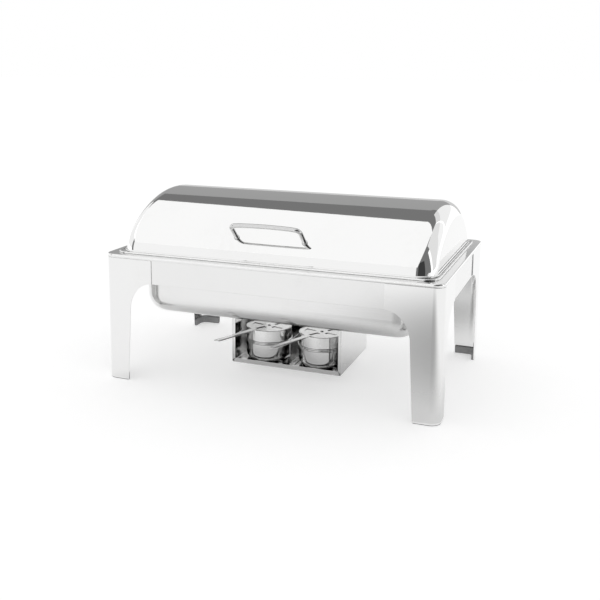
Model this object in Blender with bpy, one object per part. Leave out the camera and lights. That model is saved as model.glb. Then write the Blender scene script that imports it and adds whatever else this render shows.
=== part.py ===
# Chafing dish food warmer: a hinged dome lid over a full-size food pan and a water pan,
# on a four-legged frame, with two fuel burners in a holder under the water pan.
# Metres, +Z up. X runs left to right seen from the front, Y runs front to back.
# The origin is on the floor, under the middle of the frame.

import bpy
import bmesh
from math import acos, atan2, cos, pi, radians, sin, sqrt
from mathutils import Matrix, Vector

# ---- driving sizes ---------------------------------------------------------

GAP = 0.0003                  # air between two pieces that touch
CUT_REACH = 0.010             # how far a drill runs past the middle of its hole

# food pan, the size everything round it follows
FOOD_PAN_LENGTH = 0.530       # over the flange
FOOD_PAN_WIDTH = 0.325
FOOD_PAN_DEPTH = 0.065
FOOD_PAN_SHEET = 0.0008
FOOD_PAN_FLANGE = 0.0115      # flange width, outside the body
FOOD_PAN_CORNER = 0.045       # body corner, seen from above
FOOD_PAN_TAPER = 0.010        # how far each side leans in from mouth to floor
FOOD_PAN_FLOOR_ROUND = 0.016  # where the sides meet the floor

# water pan
WATER_PAN_DEPTH = 0.118       # flange top to the underside
WATER_PAN_SHEET = 0.001
WATER_PAN_SEAT = 0.0065       # how far the food pan flange rests on it
WATER_PAN_CORNER = 0.042
WATER_PAN_FLOOR_ROUND = 0.038
WATER_PAN_RIM_BEAD = 0.0017   # how far the rolled edge stands above the flange
WATER_PAN_BEAD_WIDTH = 0.003
WATER_PAN_RIM_CORNER = 0.024

# lid
LID_END_MARGIN = 0.023        # lid outside beyond the food pan flange, at each end
LID_SIDE_MARGIN = 0.0125      # the same at the front and the back
LID_HEIGHT = 0.1012           # bottom edge to the top of the arch
LID_SHEET = 0.001
LID_WALL = 0.0260             # height of the leaning lower wall, up to where it would meet the arch
LID_WALL_LEAN = 0.0042        # how far that wall leans in
LID_FRONT_SHOULDER = 0.0175   # the round into the arch starts this far below that, at the front
LID_BACK_SHOULDER = 0.0105    # the same at the back, above the hinge leaves
LID_ARCH_SHOULDER = 0.036     # and it ends this far up the arch
LID_EDGE_ROUND = 0.032        # round between the arch and the end walls
LID_BEAD = 0.0025             # how far the bottom bead stands out
LID_BEAD_HEIGHT = 0.0026

# frame
LEDGE_STEP = 0.008            # lid outside to water pan edge
RIM_ROLL = 0.0065             # height of the rolled rim above the legs
RIM_ROLL_PROUD = 0.0008       # how far the roll stands out past the legs
WATER_PAN_REST = 0.0095       # how far the water pan's rim lies on the ledge
RIM_LEDGE_TURN = 0.005        # depth of its turned-down inner edge
SKIRT_HEIGHT = 0.043          # skirt below the roll
FRAME_SHEET = 0.0012
FRAME_INNER_CORNER = 0.020

# legs and feet
LEG_SHEET = 0.0012
LEG_CORNER = 0.018
LEG_FOOT_FRONT = 0.0446       # width at the floor, on the long side
LEG_FOOT_SIDE = 0.0394        # width at the floor, on the short side
LEG_SPREAD = 0.0075           # how much wider each face is below the gusset
LEG_TOP_FRONT = 0.096         # width at the top, on the long side
LEG_TOP_SIDE = 0.102
GUSSET_HEIGHT = 0.052
SOLE = 0.0009                 # foot material under the leg edge
FOOT_HEIGHT = 0.014
FOOT_WALL = 0.004
FOOT_INSET = 0.0012           # foot ends short of the leg edges

# handle
HANDLE_SPAN = 0.126           # between the two feet of the handle
HANDLE_ROD = 0.0078
HANDLE_REACH = 0.0375         # lid surface to the middle of the bar
HANDLE_BOW = 0.003            # how far the bar is bowed out at its middle
HANDLE_BEND = 0.010
HANDLE_SETBACK = 0.0182       # from the lid's front edge back to the handle's feet
HANDLE_SCREW = 0.004
HANDLE_SCREW_DEPTH = 0.010
WASHER_SIZE = 0.011
WASHER_SHEET = 0.001
WASHER_GAP = 0.0007           # air over the flat washer, where the lid curves away

# hinges
HINGE_SPACING = 0.300
HINGE_WIDTH = 0.050
HINGE_MIDDLE = 0.022          # width of the middle knuckle
HINGE_SHEET = 0.0015
HINGE_KNUCKLE = 0.0072
HINGE_PIN = 0.0036
HINGE_SETBACK = 0.0002        # knuckles end this far inside the frame's back edge
HINGE_FRONT = 0.001           # from the frame rivets' heads to the water pan's edge
HINGE_LEAF_TOP = 0.00035      # the lid leaf ends this far under the lid's shoulder
RIVET_SHANK = 0.003
RIVET_HEAD = 0.005
RIVET_HEAD_HEIGHT = 0.0012
RIVET_SPACING = 0.036

# burners
BURNER_DIAMETER = 0.087
BURNER_BEAD = 0.002           # how far the rim beads stand out
BURNER_CUP_HEIGHT = 0.0378
BURNER_COVER_HEIGHT = 0.0242
BURNER_BEAD_HEIGHT = 0.0027
BURNER_SHEET = 0.0008
BURNER_FLOOR_ROUND = 0.012
COVER_SPIGOT = 0.004
COVER_LIP = 0.0014            # how far the cover's edge stands above its plate
WINDOW_COUNT = 5
WINDOW_ANGLE = radians(34)
WINDOW_TURN = radians(4)      # first window of the cover, from +X
WINDOW_INNER = 0.012
WINDOW_MARGIN = 0.0105        # from the burner's wall in to the windows
REGULATOR_SHEET = 0.0008
REGULATOR_EDGE_GAP = 0.002    # regulator disc inside the cover's edge
PADDLE_LENGTH = 0.146         # burner axis to the tip of the flat handle
PADDLE_WIDTH = 0.013
PADDLE_RISE = 0.002
PADDLE_ANGLE = radians(20)    # swung from straight ahead to the left
PADDLE_HOLE = 0.004
PADDLE_LAND = 0.005           # lap of the paddle on the disc outside the windows
PADDLE_STEP = 0.0025          # from the step over the cover's edge to the burner's wall
PADDLE_LEVEL = 0.004          # level stretch past the wall, before the rise
PADDLE_BEND = 0.001
WICK_HEIGHT = 0.026

# burner holder
HOLDER_SHEET = 0.0012
HOLDER_CLEARANCE = 0.0188     # floor to the underside of the holder
HOLDER_FRONT = -0.080         # front face of the holder
HOLDER_DEPTH = 0.170
HOLDER_FLANGE = 0.017         # top flanges, turned outwards
HOLDER_RETURN = 0.006         # edges turned in along the front of the side walls
HOLDER_LIP = 0.008
HOLDER_BACK_STOP = 0.055
HOLDER_BEND = 0.002
FLAME_GAP = 0.0365            # burner top to the water pan
BAY_CLEARANCE = 0.0075        # air beside each burner
BURNER_FRONT_GAP = 0.006      # air between burner and front lip
DIVIDER_HEIGHT = 0.046
DIVIDER_SETBACK = 0.024
DIVIDER_FOOT = 0.010
DIVIDER_SHEET = 0.001
LUG_WIDTH = 0.007
LUG_HEIGHT = 0.006
LUG_ANGLE = radians(45)       # round the burner, from ahead of it to its right
LUG_GAP = 0.0006
STUD = 0.004
STUD_LENGTH = 0.0075
NUT_ACROSS = 0.007
NUT_HEIGHT = 0.0032
STUD_FRONT = 0.020            # first stud behind the holder's front edge

# fineness of round shapes
CORNER_STEPS = 5
TURN_STEPS = 24
SMALL_STEPS = 10
NUT_STEPS = 12                # two points for each side of a hexagon

# ---- derived sizes ---------------------------------------------------------

lid_half_x = FOOD_PAN_LENGTH / 2 + LID_END_MARGIN
lid_half_y = FOOD_PAN_WIDTH / 2 + LID_SIDE_MARGIN
water_rim_half_x = lid_half_x + LEDGE_STEP
water_rim_half_y = lid_half_y + LEDGE_STEP
# outside the water pan the rim has room for a knuckle and a row of rivets
rim_step = HINGE_SETBACK + HINGE_KNUCKLE + 2 * GAP + RIVET_HEAD + HINGE_FRONT
rim_ledge = rim_step + WATER_PAN_REST
frame_half_x = water_rim_half_x + rim_step
frame_half_y = water_rim_half_y + rim_step

# heights, from the burner holder up
burner_height = BURNER_CUP_HEIGHT + BURNER_COVER_HEIGHT
burner_rim_radius = BURNER_DIAMETER / 2 + BURNER_BEAD
window_outer = BURNER_DIAMETER / 2 - WINDOW_MARGIN
holder_floor_z = HOLDER_CLEARANCE + HOLDER_SHEET
burner_base_z = holder_floor_z + GAP
water_bottom_z = burner_base_z + burner_height + FLAME_GAP
water_flange_z = water_bottom_z + WATER_PAN_DEPTH
food_flange_z = water_flange_z + GAP + FOOD_PAN_SHEET
lid_base_z = water_flange_z + GAP
ledge_z = water_flange_z - WATER_PAN_SHEET - GAP
leg_height = ledge_z - RIM_ROLL - GAP

bay_width = 2 * (burner_rim_radius + BAY_CLEARANCE)
burner_x = bay_width / 2 + DIVIDER_SHEET / 2
holder_half_x = burner_x + bay_width / 2 + HOLDER_SHEET
burner_y = HOLDER_FRONT + HOLDER_SHEET + BURNER_FRONT_GAP + burner_rim_radius
holder_top_z = water_bottom_z - GAP

hinge_y = frame_half_y - HINGE_SETBACK - HINGE_KNUCKLE / 2
hinge_z = ledge_z + GAP + HINGE_KNUCKLE / 2

# ---- scene -----------------------------------------------------------------

for old in list(bpy.data.objects):
    bpy.data.objects.remove(old, do_unlink=True)

collection = bpy.context.scene.collection


def steel(name, colour, roughness, metallic=1.0):
    """A Principled material with one colour, roughness and metallic value."""
    material = bpy.data.materials.new(name)
    material.use_nodes = True
    shader = material.node_tree.nodes["Principled BSDF"]
    shader.inputs["Base Color"].default_value = (*colour, 1.0)
    shader.inputs["Roughness"].default_value = roughness
    shader.inputs["Metallic"].default_value = metallic
    return material


def finish(name, mesh, material, smooth_angle=30):
    """Turn a mesh into a named object with its own copy of a material."""
    if smooth_angle:
        mesh.shade_smooth()
        mesh.set_sharp_from_angle(angle=radians(smooth_angle))
    piece = bpy.data.objects.new(name, mesh)
    own = material.copy()
    own.name = name + "_finish"
    mesh.materials.clear()
    mesh.materials.append(own)
    collection.objects.link(piece)
    return piece


def mesh_from(bm, name):
    """Close a bmesh off as a mesh whose faces point out."""
    bmesh.ops.remove_doubles(bm, verts=bm.verts, dist=1e-7)
    bmesh.ops.recalc_face_normals(bm, faces=bm.faces)
    if bm.calc_volume(signed=True) < 0:
        bmesh.ops.reverse_faces(bm, faces=bm.faces)
    mesh = bpy.data.meshes.new(name)
    bm.to_mesh(mesh)
    bm.free()
    return mesh


def boolean(piece, tool_mesh, operation):
    """Apply a Boolean with a throwaway tool mesh and keep the result."""
    tool = bpy.data.objects.new("tool", tool_mesh)
    tool.hide_render = True
    tool.display_type = "WIRE"
    collection.objects.link(tool)
    step = piece.modifiers.new(operation.lower(), "BOOLEAN")
    step.operation = operation
    step.object = tool
    bpy.context.view_layer.update()
    depsgraph = bpy.context.evaluated_depsgraph_get()
    result = bpy.data.meshes.new_from_object(piece.evaluated_get(depsgraph))
    piece.modifiers.remove(step)
    piece.data = result
    bpy.data.objects.remove(tool, do_unlink=True)


def cut(piece, tool_mesh):
    boolean(piece, tool_mesh, "DIFFERENCE")


def join(piece, tool_mesh):
    boolean(piece, tool_mesh, "UNION")


# ---- shapes ----------------------------------------------------------------

def rounded_rectangle(half_x, half_y, radius, z, steps=CORNER_STEPS):
    """One level loop of points, anticlockwise, with a round at each corner."""
    loop = []
    for corner, (sx, sy) in enumerate(((1, 1), (-1, 1), (-1, -1), (1, -1))):
        centre = Vector((sx * (half_x - radius), sy * (half_y - radius), z))
        for step in range(steps + 1):
            angle = (corner + step / steps) * pi / 2
            loop.append(centre + Vector((radius * cos(angle), radius * sin(angle), 0)))
    return loop


def loft(name, loops, ring=False):
    """Skin a list of loops; a ring closes on itself, otherwise both ends are capped."""
    bm = bmesh.new()
    rows = [[bm.verts.new(point) for point in loop] for loop in loops]
    count = len(rows[0])
    pairs = list(zip(rows, rows[1:]))
    if ring:
        pairs.append((rows[-1], rows[0]))
    for low, high in pairs:
        for i in range(count):
            j = (i + 1) % count
            bm.faces.new((low[i], low[j], high[j], high[i]))
    if not ring:
        bm.faces.new(rows[0][::-1])
        bm.faces.new(rows[-1])
    return mesh_from(bm, name)


def turned(name, profile, steps=TURN_STEPS, closed=True):
    """Turn a profile of (radius, z) points round Z; points on the axis become one vertex."""
    bm = bmesh.new()
    rows = []
    for radius, z in profile:
        if radius == 0:
            rows.append([bm.verts.new((0, 0, z))] * steps)
            continue
        rows.append([bm.verts.new((radius * cos(2 * pi * i / steps),
                                   radius * sin(2 * pi * i / steps), z))
                     for i in range(steps)])
    pairs = list(zip(rows, rows[1:]))
    if closed:
        pairs.append((rows[-1], rows[0]))
    for low, high in pairs:
        for i in range(steps):
            j = (i + 1) % steps
            corners = list(dict.fromkeys((low[i], low[j], high[j], high[i])))
            if len(corners) > 2:
                bm.faces.new(corners)
    return mesh_from(bm, name)


def extruded(name, outline, low, high, placement):
    """Extrude a flat outline; placement maps (u, v, depth) to a point."""
    bm = bmesh.new()
    rows = [[bm.verts.new(placement(u, v, depth)) for u, v in outline] for depth in (low, high)]
    count = len(outline)
    for i in range(count):
        j = (i + 1) % count
        bm.faces.new((rows[0][i], rows[0][j], rows[1][j], rows[1][i]))
    bm.faces.new(rows[0][::-1])
    bm.faces.new(rows[1])
    return mesh_from(bm, name)


def along_x(u, v, depth):
    return Vector((depth, u, v))


def along_y(u, v, depth):
    return Vector((u, depth, v))


def along_z(u, v, depth):
    return Vector((u, v, depth))


def box(name, low, high):
    """A box between two corners."""
    outline = ((low[0], low[1]), (high[0], low[1]), (high[0], high[1]), (low[0], high[1]))
    return extruded(name, outline, low[2], high[2], along_z)


def cylinder(name, radius, start, end, steps=SMALL_STEPS):
    """A plain cylinder between two points."""
    start, end = Vector(start), Vector(end)
    length = (end - start).length
    mesh = turned(name, ((0, 0), (radius, 0), (radius, length), (0, length)), steps, closed=False)
    turn = (end - start).to_track_quat("Z", "Y").to_matrix().to_4x4()
    mesh.transform(Matrix.Translation(start) @ turn)
    return mesh


def bent_sheet(points, sheet, bend, steps=3):
    """Outline of a folded sheet: a route of (u, v) points with a round at each fold."""
    route = [Vector(points[0])]
    for before, at, after in zip(points, points[1:], points[2:]):
        at = Vector(at)
        into = (at - Vector(before)).normalized()
        out = (Vector(after) - at).normalized()
        for step in range(steps + 1):
            t = step / steps
            start, end = at - into * bend, at + out * bend
            route.append(start * (1 - t) ** 2 + at * 2 * t * (1 - t) + end * t ** 2)
    route.append(Vector(points[-1]))
    left, right = [], []
    for i, point in enumerate(route):
        ahead = (route[min(i + 1, len(route) - 1)] - route[max(i - 1, 0)]).normalized()
        side = Vector((-ahead.y, ahead.x)) * sheet / 2
        left.append(point + side)
        right.append(point - side)
    return left + right[::-1]


def quarter(inset_start, z_start, inset_end, z_end, steps):
    """Quarter ellipse from a level tangent at the start to an upright one at the end."""
    return [(inset_start + (inset_end - inset_start) * sin(pi / 2 * i / steps),
             z_end + (z_start - z_end) * cos(pi / 2 * i / steps)) for i in range(steps + 1)]


# ---- materials -------------------------------------------------------------

polished = steel("polished_steel", (0.80, 0.80, 0.80), 0.06)
satin = steel("satin_steel", (0.62, 0.62, 0.62), 0.25)
fixing = steel("fixing_steel", (0.66, 0.66, 0.66), 0.28)
pressed = steel("burner_steel", (0.74, 0.74, 0.74), 0.12)
rubber = steel("foot_rubber", (0.03, 0.03, 0.03), 0.6, 0.0)
fibre = steel("wick_fibre", (0.78, 0.74, 0.66), 0.95, 0.0)


# ---- frame -----------------------------------------------------------------

leg_inset = RIM_ROLL_PROUD
skirt_inset = leg_inset + LEG_SHEET + GAP


def make_frame():
    """Rolled rim, flat ledge and skirt, as one pressed ring of sheet."""
    under = leg_height + GAP
    top = ledge_z
    skirt_bottom = leg_height - SKIRT_HEIGHT
    inner = skirt_inset + FRAME_SHEET
    section = [(skirt_inset, skirt_bottom), (skirt_inset, under),
               (RIM_ROLL_PROUD / 2, under + RIM_ROLL * 0.05), (0, under + RIM_ROLL * 0.25),
               (0, top - RIM_ROLL * 0.40), (RIM_ROLL * 0.09, top - RIM_ROLL * 0.16),
               (RIM_ROLL * 0.32, top),
               (rim_ledge - FRAME_SHEET, top), (rim_ledge, top - FRAME_SHEET),
               (rim_ledge, top - RIM_LEDGE_TURN),
               (rim_ledge - FRAME_SHEET, top - RIM_LEDGE_TURN),
               (rim_ledge - FRAME_SHEET, top - FRAME_SHEET * 1.6),
               (rim_ledge - FRAME_SHEET * 1.6, top - FRAME_SHEET),
               (inner + FRAME_SHEET, top - FRAME_SHEET),
               (inner, top - FRAME_SHEET * 2), (inner, skirt_bottom)]
    loops = []
    for inset, z in section:
        radius = LEG_CORNER + leg_inset - inset
        if inset > rim_ledge / 2:
            radius = FRAME_INNER_CORNER
        loops.append(rounded_rectangle(frame_half_x - inset, frame_half_y - inset, radius, z))
    frame = finish("frame_rim", loft("frame_rim", loops, ring=True), polished)
    for x in rivet_places():
        cut(frame, cylinder("hole", RIVET_SHANK / 2 + GAP, (x, frame_rivet_y, top - CUT_REACH),
                            (x, frame_rivet_y, top + CUT_REACH)))
    return frame


# ---- legs and feet ---------------------------------------------------------

def corner_path(front, side, inset, radius, steps=5):
    """From the end of the long-side face, round the corner, to the end of the short-side face.

    Given for the leg at -X, -Y."""
    x0, y0 = -frame_half_x + inset, -frame_half_y + inset
    path = [Vector((-frame_half_x + leg_inset + front, y0, 0))]
    for step in range(steps + 1):
        angle = -pi / 2 - pi / 2 * step / steps
        path.append(Vector((x0 + radius + radius * cos(angle), y0 + radius + radius * sin(angle), 0)))
    path.append(Vector((x0, -frame_half_y + leg_inset + side, 0)))
    return path


def leg_loop(front, side, inset, sheet, z, sign_x, sign_y):
    """Level section of a leg or foot, with its outer face at an inset from the frame edge."""
    outer_radius = LEG_CORNER + leg_inset - inset
    outer = corner_path(front, side, inset, outer_radius)
    inner = corner_path(front, side, inset + sheet, outer_radius - sheet)
    return [Vector((-sign_x * p.x, -sign_y * p.y, z)) for p in outer + inner[::-1]]


def make_leg(name, sign_x, sign_y):
    """One corner leg: two faces of sheet that widen through a gusset to the top plates."""
    gusset_top = leg_height - SKIRT_HEIGHT
    gusset_bottom = gusset_top - GUSSET_HEIGHT
    front_low, side_low = LEG_FOOT_FRONT + LEG_SPREAD, LEG_FOOT_SIDE + LEG_SPREAD
    levels = [(LEG_FOOT_FRONT, LEG_FOOT_SIDE, SOLE + GAP)]
    steps = 6
    for step in range(steps + 1):
        grow = 1 - cos(pi / 2 * step / steps)
        z = gusset_bottom + GUSSET_HEIGHT * sin(pi / 2 * step / steps)
        levels.append((front_low + (LEG_TOP_FRONT - front_low) * grow,
                       side_low + (LEG_TOP_SIDE - side_low) * grow, z))
    levels.append((LEG_TOP_FRONT, LEG_TOP_SIDE, leg_height))
    loops = [leg_loop(front, side, leg_inset, LEG_SHEET, z, sign_x, sign_y)
             for front, side, z in levels]
    return finish(name, loft(name, loops), polished)


def make_foot(name, sign_x, sign_y):
    """Angle-shaped plastic foot inside the leg, with a thin sole under the leg's edge."""
    inside = leg_inset + LEG_SHEET + GAP
    front, side = LEG_FOOT_FRONT - FOOT_INSET, LEG_FOOT_SIDE - FOOT_INSET
    sole_inset = leg_inset + GAP
    sole_width = inside - sole_inset + FOOT_WALL
    loops = [leg_loop(front, side, sole_inset, sole_width, 0, sign_x, sign_y),
             leg_loop(front, side, sole_inset, sole_width, SOLE, sign_x, sign_y),
             leg_loop(front, side, inside, FOOT_WALL, SOLE, sign_x, sign_y),
             leg_loop(front, side, inside, FOOT_WALL, FOOT_HEIGHT, sign_x, sign_y)]
    return finish(name, loft(name, loops), rubber)


# ---- pans ------------------------------------------------------------------

def make_water_pan():
    """Deep-drawn pan with a rolled edge, and four weld studs under its floor."""
    open_x = FOOD_PAN_LENGTH / 2 - WATER_PAN_SEAT
    open_y = FOOD_PAN_WIDTH / 2 - WATER_PAN_SEAT
    sheet, top = WATER_PAN_SHEET, water_flange_z
    bottom, rounding = water_bottom_z, WATER_PAN_FLOOR_ROUND
    loops = []

    def body(offset, z, inset=0.0):
        loops.append(rounded_rectangle(open_x + offset - inset, open_y + offset - inset,
                                       WATER_PAN_CORNER + offset - inset, z))

    for inset, z in quarter(rounding, bottom, 0, bottom + rounding, 5):
        body(sheet, z, inset)
    body(sheet, top - sheet * 3)
    body(sheet * 1.6, top - sheet * 1.4)
    body(sheet * 3, top - sheet)
    edge = ((0.0, -sheet), (0.0, WATER_PAN_RIM_BEAD * 0.5),
            (-WATER_PAN_BEAD_WIDTH * 0.35, WATER_PAN_RIM_BEAD),
            (-WATER_PAN_BEAD_WIDTH * 0.75, WATER_PAN_RIM_BEAD * 0.8),
            (-WATER_PAN_BEAD_WIDTH, 0.0))
    for outset, rise in edge:
        loops.append(rounded_rectangle(water_rim_half_x + outset, water_rim_half_y + outset,
                                       WATER_PAN_RIM_CORNER + outset, top + rise))
    body(sheet * 3, top)
    body(sheet * 0.6, top - sheet)
    body(0, top - sheet * 3)
    for inset, z in reversed(quarter(rounding, bottom + sheet, 0, bottom + rounding, 5)):
        body(0, z, min(inset, rounding - sheet * 0.5))
    pan = finish("water_pan", loft("water_pan", loops), satin)
    for x, y in stud_places():
        join(pan, cylinder("stud", STUD / 2, (x, y, bottom - STUD_LENGTH), (x, y, bottom + sheet / 2)))
    return pan


def make_food_pan():
    """Full-size pan that hangs by its flange in the water pan."""
    half_x = FOOD_PAN_LENGTH / 2 - FOOD_PAN_FLANGE
    half_y = FOOD_PAN_WIDTH / 2 - FOOD_PAN_FLANGE
    sheet, top = FOOD_PAN_SHEET, food_flange_z
    floor = top - FOOD_PAN_DEPTH
    rounding = FOOD_PAN_FLOOR_ROUND
    loops = []

    def body(offset, z, inset=0.0):
        loops.append(rounded_rectangle(half_x + offset - inset, half_y + offset - inset,
                                       FOOD_PAN_CORNER + offset - inset, z))

    for inset, z in quarter(FOOD_PAN_TAPER + rounding, floor, FOOD_PAN_TAPER, floor + rounding, 4):
        body(0, z, inset)
    body(0, top - sheet * 4)
    body(sheet * 2, top - sheet)
    for outset, rise in ((FOOD_PAN_FLANGE, -sheet), (FOOD_PAN_FLANGE, -sheet * 0.4),
                         (FOOD_PAN_FLANGE - sheet * 0.6, 0.0)):
        body(outset, top + rise)
    body(sheet * 1.2, top)
    body(-sheet, top - sheet * 4)
    for inset, z in reversed(quarter(FOOD_PAN_TAPER + rounding, floor + sheet,
                                     FOOD_PAN_TAPER, floor + rounding, 4)):
        body(-sheet, z, inset)
    return finish("food_pan", loft("food_pan", loops), polished)


# ---- lid -------------------------------------------------------------------

arch_top_z = lid_base_z + LID_HEIGHT
lid_wall_foot = LID_BEAD_HEIGHT * 1.3     # the wall starts this far up, above the bead
lid_wall_slope = LID_WALL_LEAN / LID_WALL


lid_arch_half = lid_half_y - LID_WALL_LEAN
lid_arch_rise = LID_HEIGHT - LID_WALL
lid_arch_radius = (lid_arch_half ** 2 + lid_arch_rise ** 2) / (2 * lid_arch_rise)
lid_arch_centre_z = arch_top_z - lid_arch_radius


def lid_curve(inset, drop):
    """The parts of half a lid section, moved inwards by the inset.

    Gives the shoulder's start, corner and end, the foot of the wall, and the arch's radius and
    the angle it starts at. Distances count outwards from the middle. The shoulder starts the
    drop below the top of the wall; it gets shorter towards the lid's ends."""
    slope = lid_wall_slope
    centre_z, radius = lid_arch_centre_z, lid_arch_radius - inset
    base_y = lid_half_y - inset / cos(atan2(LID_WALL_LEAN, LID_WALL))
    # where the moved wall line meets the moved arch
    a = 1 + slope ** 2
    b = base_y * slope + (centre_z - lid_base_z)
    c = base_y ** 2 + (centre_z - lid_base_z) ** 2 - radius ** 2
    meet = (b + sqrt(b * b - a * c)) / a
    meet_angle = atan2(lid_base_z + meet - centre_z, base_y - slope * meet)
    share = inset / LID_EDGE_ROUND
    # a low wall leaves less room for the shoulder
    start_up = meet - min(drop * (1 - 0.7 * share), 0.9 * (meet - lid_wall_foot))
    start = Vector((base_y - slope * start_up, lid_base_z + start_up))
    angle = meet_angle + LID_ARCH_SHOULDER * (1 - 0.34 * share) / radius
    end = Vector((radius * cos(angle), centre_z + radius * sin(angle)))
    # the wall line and the tangent of the arch cross at the corner
    back = base_y - slope * (end.y - lid_base_z) - end.x
    back /= sin(angle) - slope * cos(angle)
    corner = Vector((end.x + back * sin(angle), end.y - back * cos(angle)))
    foot = Vector((base_y - slope * lid_wall_foot, lid_base_z + lid_wall_foot))
    return start, corner, end, foot, radius, angle


def lid_profile(inset, drop):
    """Half of the lid's cross-section, bottom edge to the middle, as (outward distance, z)."""
    start, corner, end, foot, radius, angle = lid_curve(inset, drop)
    points = [tuple(foot)]
    steps = 6
    for step in range(steps + 1):
        t = step / steps
        points.append(tuple(start * (1 - t) ** 2 + corner * 2 * t * (1 - t) + end * t ** 2))
    for step in range(1, steps + 1):
        turn = angle + (pi / 2 - angle) * step / steps
        points.append((radius * cos(turn), lid_arch_centre_z + radius * sin(turn)))
    return points


def lid_sections(sheet):
    """Cross-sections of the dome from one end to the other, moved in by the sheet."""
    sections = []
    rounding = LID_EDGE_ROUND - sheet
    steps = 5
    for side in (-1, 1):
        turns = range(steps + 1) if side < 0 else range(steps, -1, -1)
        for step in turns:
            angle = pi / 2 * (1 - step / steps)
            x = side * (lid_half_x - LID_EDGE_ROUND + rounding * sin(angle))
            inset = sheet + rounding * (1 - cos(angle))
            whole = [(-y, z) for y, z in lid_profile(inset, LID_FRONT_SHOULDER)]
            whole += lid_profile(inset, LID_BACK_SHOULDER)[-2::-1]
            sections.append([Vector((x, y, z)) for y, z in whole])
    return sections


def lid_boundary(sections):
    """The open bottom edge of the dome, in order: front, then back."""
    return [section[0] for section in sections] + [section[-1] for section in sections[::-1]]


def spread(loop, outset, z):
    """Move a bottom loop outwards in plan and to a height."""
    core_x, core_y = lid_half_x - LID_EDGE_ROUND, lid_half_y - LID_EDGE_ROUND
    moved = []
    for point in loop:
        nearest = Vector((max(-core_x, min(core_x, point.x)), max(-core_y, min(core_y, point.y)), 0))
        away = Vector((point.x, point.y, 0)) - nearest
        moved.append(nearest + away.normalized() * (away.length + outset) + Vector((0, 0, z)))
    return moved


def make_lid():
    """Arched shell with flat rounded ends and a bead along its open bottom edge."""
    bm = bmesh.new()

    def add(rows):
        return [[bm.verts.new(point) for point in row] for row in rows]

    def skin(rows):
        for low, high in zip(rows, rows[1:]):
            for i in range(len(low) - 1):
                bm.faces.new((low[i], low[i + 1], high[i + 1], high[i]))
        for end in (rows[0], rows[-1]):
            bm.faces.new(end)

    outer = add(lid_sections(0))
    inner = add(lid_sections(LID_SHEET))
    skin(outer)
    skin(inner)
    outer_edge, inner_edge = lid_boundary(outer), lid_boundary(inner)
    outer_points = [vert.co.copy() for vert in outer_edge]
    inner_points = [vert.co.copy() for vert in inner_edge]
    bead_top = lid_base_z + LID_BEAD_HEIGHT
    foot = lid_wall_slope * lid_wall_foot
    bead = add([spread(outer_points, foot + LID_BEAD * 0.7, bead_top),
                spread(outer_points, foot + LID_BEAD, lid_base_z + LID_BEAD_HEIGHT * 0.6),
                spread(outer_points, foot + LID_BEAD * 0.8, lid_base_z),
                spread(inner_points, foot, lid_base_z)])
    chain = [outer_edge] + bead + [inner_edge]
    count = len(outer_edge)
    for low, high in zip(chain, chain[1:]):
        for i in range(count):
            j = (i + 1) % count
            bm.faces.new((low[i], low[j], high[j], high[i]))
    lid = finish("lid_shell", mesh_from(bm, "lid_shell"), polished)
    for x in rivet_places():
        seat, out = lid_rivet_seat(x)
        cut(lid, cylinder("hole", RIVET_SHANK / 2 + GAP, seat - out * CUT_REACH, seat + out * CUT_REACH))
    root, out = handle_root()
    for side in (-1, 1):
        middle = Vector((side * HANDLE_SPAN / 2, root.y, root.z))
        cut(lid, cylinder("hole", HANDLE_SCREW / 2 + GAP, middle - out * CUT_REACH,
                          middle + out * CUT_REACH))
    return lid


# ---- handle ----------------------------------------------------------------

def handle_root():
    """Where the handle's feet meet the front of the dome, and the direction square to it."""
    start, corner, end, _, radius, _ = lid_curve(0, LID_FRONT_SHOULDER)
    seat = lid_half_y - HANDLE_SETBACK
    if seat < end.x:    # on the arch
        angle = acos(seat / radius)
        return (Vector((0, -seat, lid_arch_centre_z + radius * sin(angle))),
                Vector((0, -cos(angle), sin(angle))))
    # on the shoulder: the place along its curve that is this far from the middle
    a, b = start.x - 2 * corner.x + end.x, 2 * (corner.x - start.x)
    t = (-b - sqrt(b * b - 4 * a * (start.x - seat))) / (2 * a)
    at = start * (1 - t) ** 2 + corner * 2 * t * (1 - t) + end * t ** 2
    along = (corner - start) * (1 - t) + (end - corner) * t
    return Vector((0, -at.x, at.y)), Vector((0, -along.y, -along.x)).normalized()


def rod(name, points, radius):
    """A round rod along a route, as a bevelled poly curve with closed ends."""
    curve = bpy.data.curves.new(name, "CURVE")
    curve.dimensions = "3D"
    spline = curve.splines.new("POLY")
    spline.points.add(len(points) - 1)
    for place, point in zip(spline.points, points):
        place.co = (*point, 1)
    curve.bevel_depth = radius
    curve.bevel_resolution = 2
    curve.use_fill_caps = True
    holder = bpy.data.objects.new(name, curve)
    collection.objects.link(holder)
    bpy.context.view_layer.update()
    mesh = bpy.data.meshes.new_from_object(holder.evaluated_get(bpy.context.evaluated_depsgraph_get()))
    bpy.data.objects.remove(holder, do_unlink=True)
    bm = bmesh.new()
    bm.from_mesh(mesh)
    bpy.data.meshes.remove(mesh)
    return mesh_from(bm, name)


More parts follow.
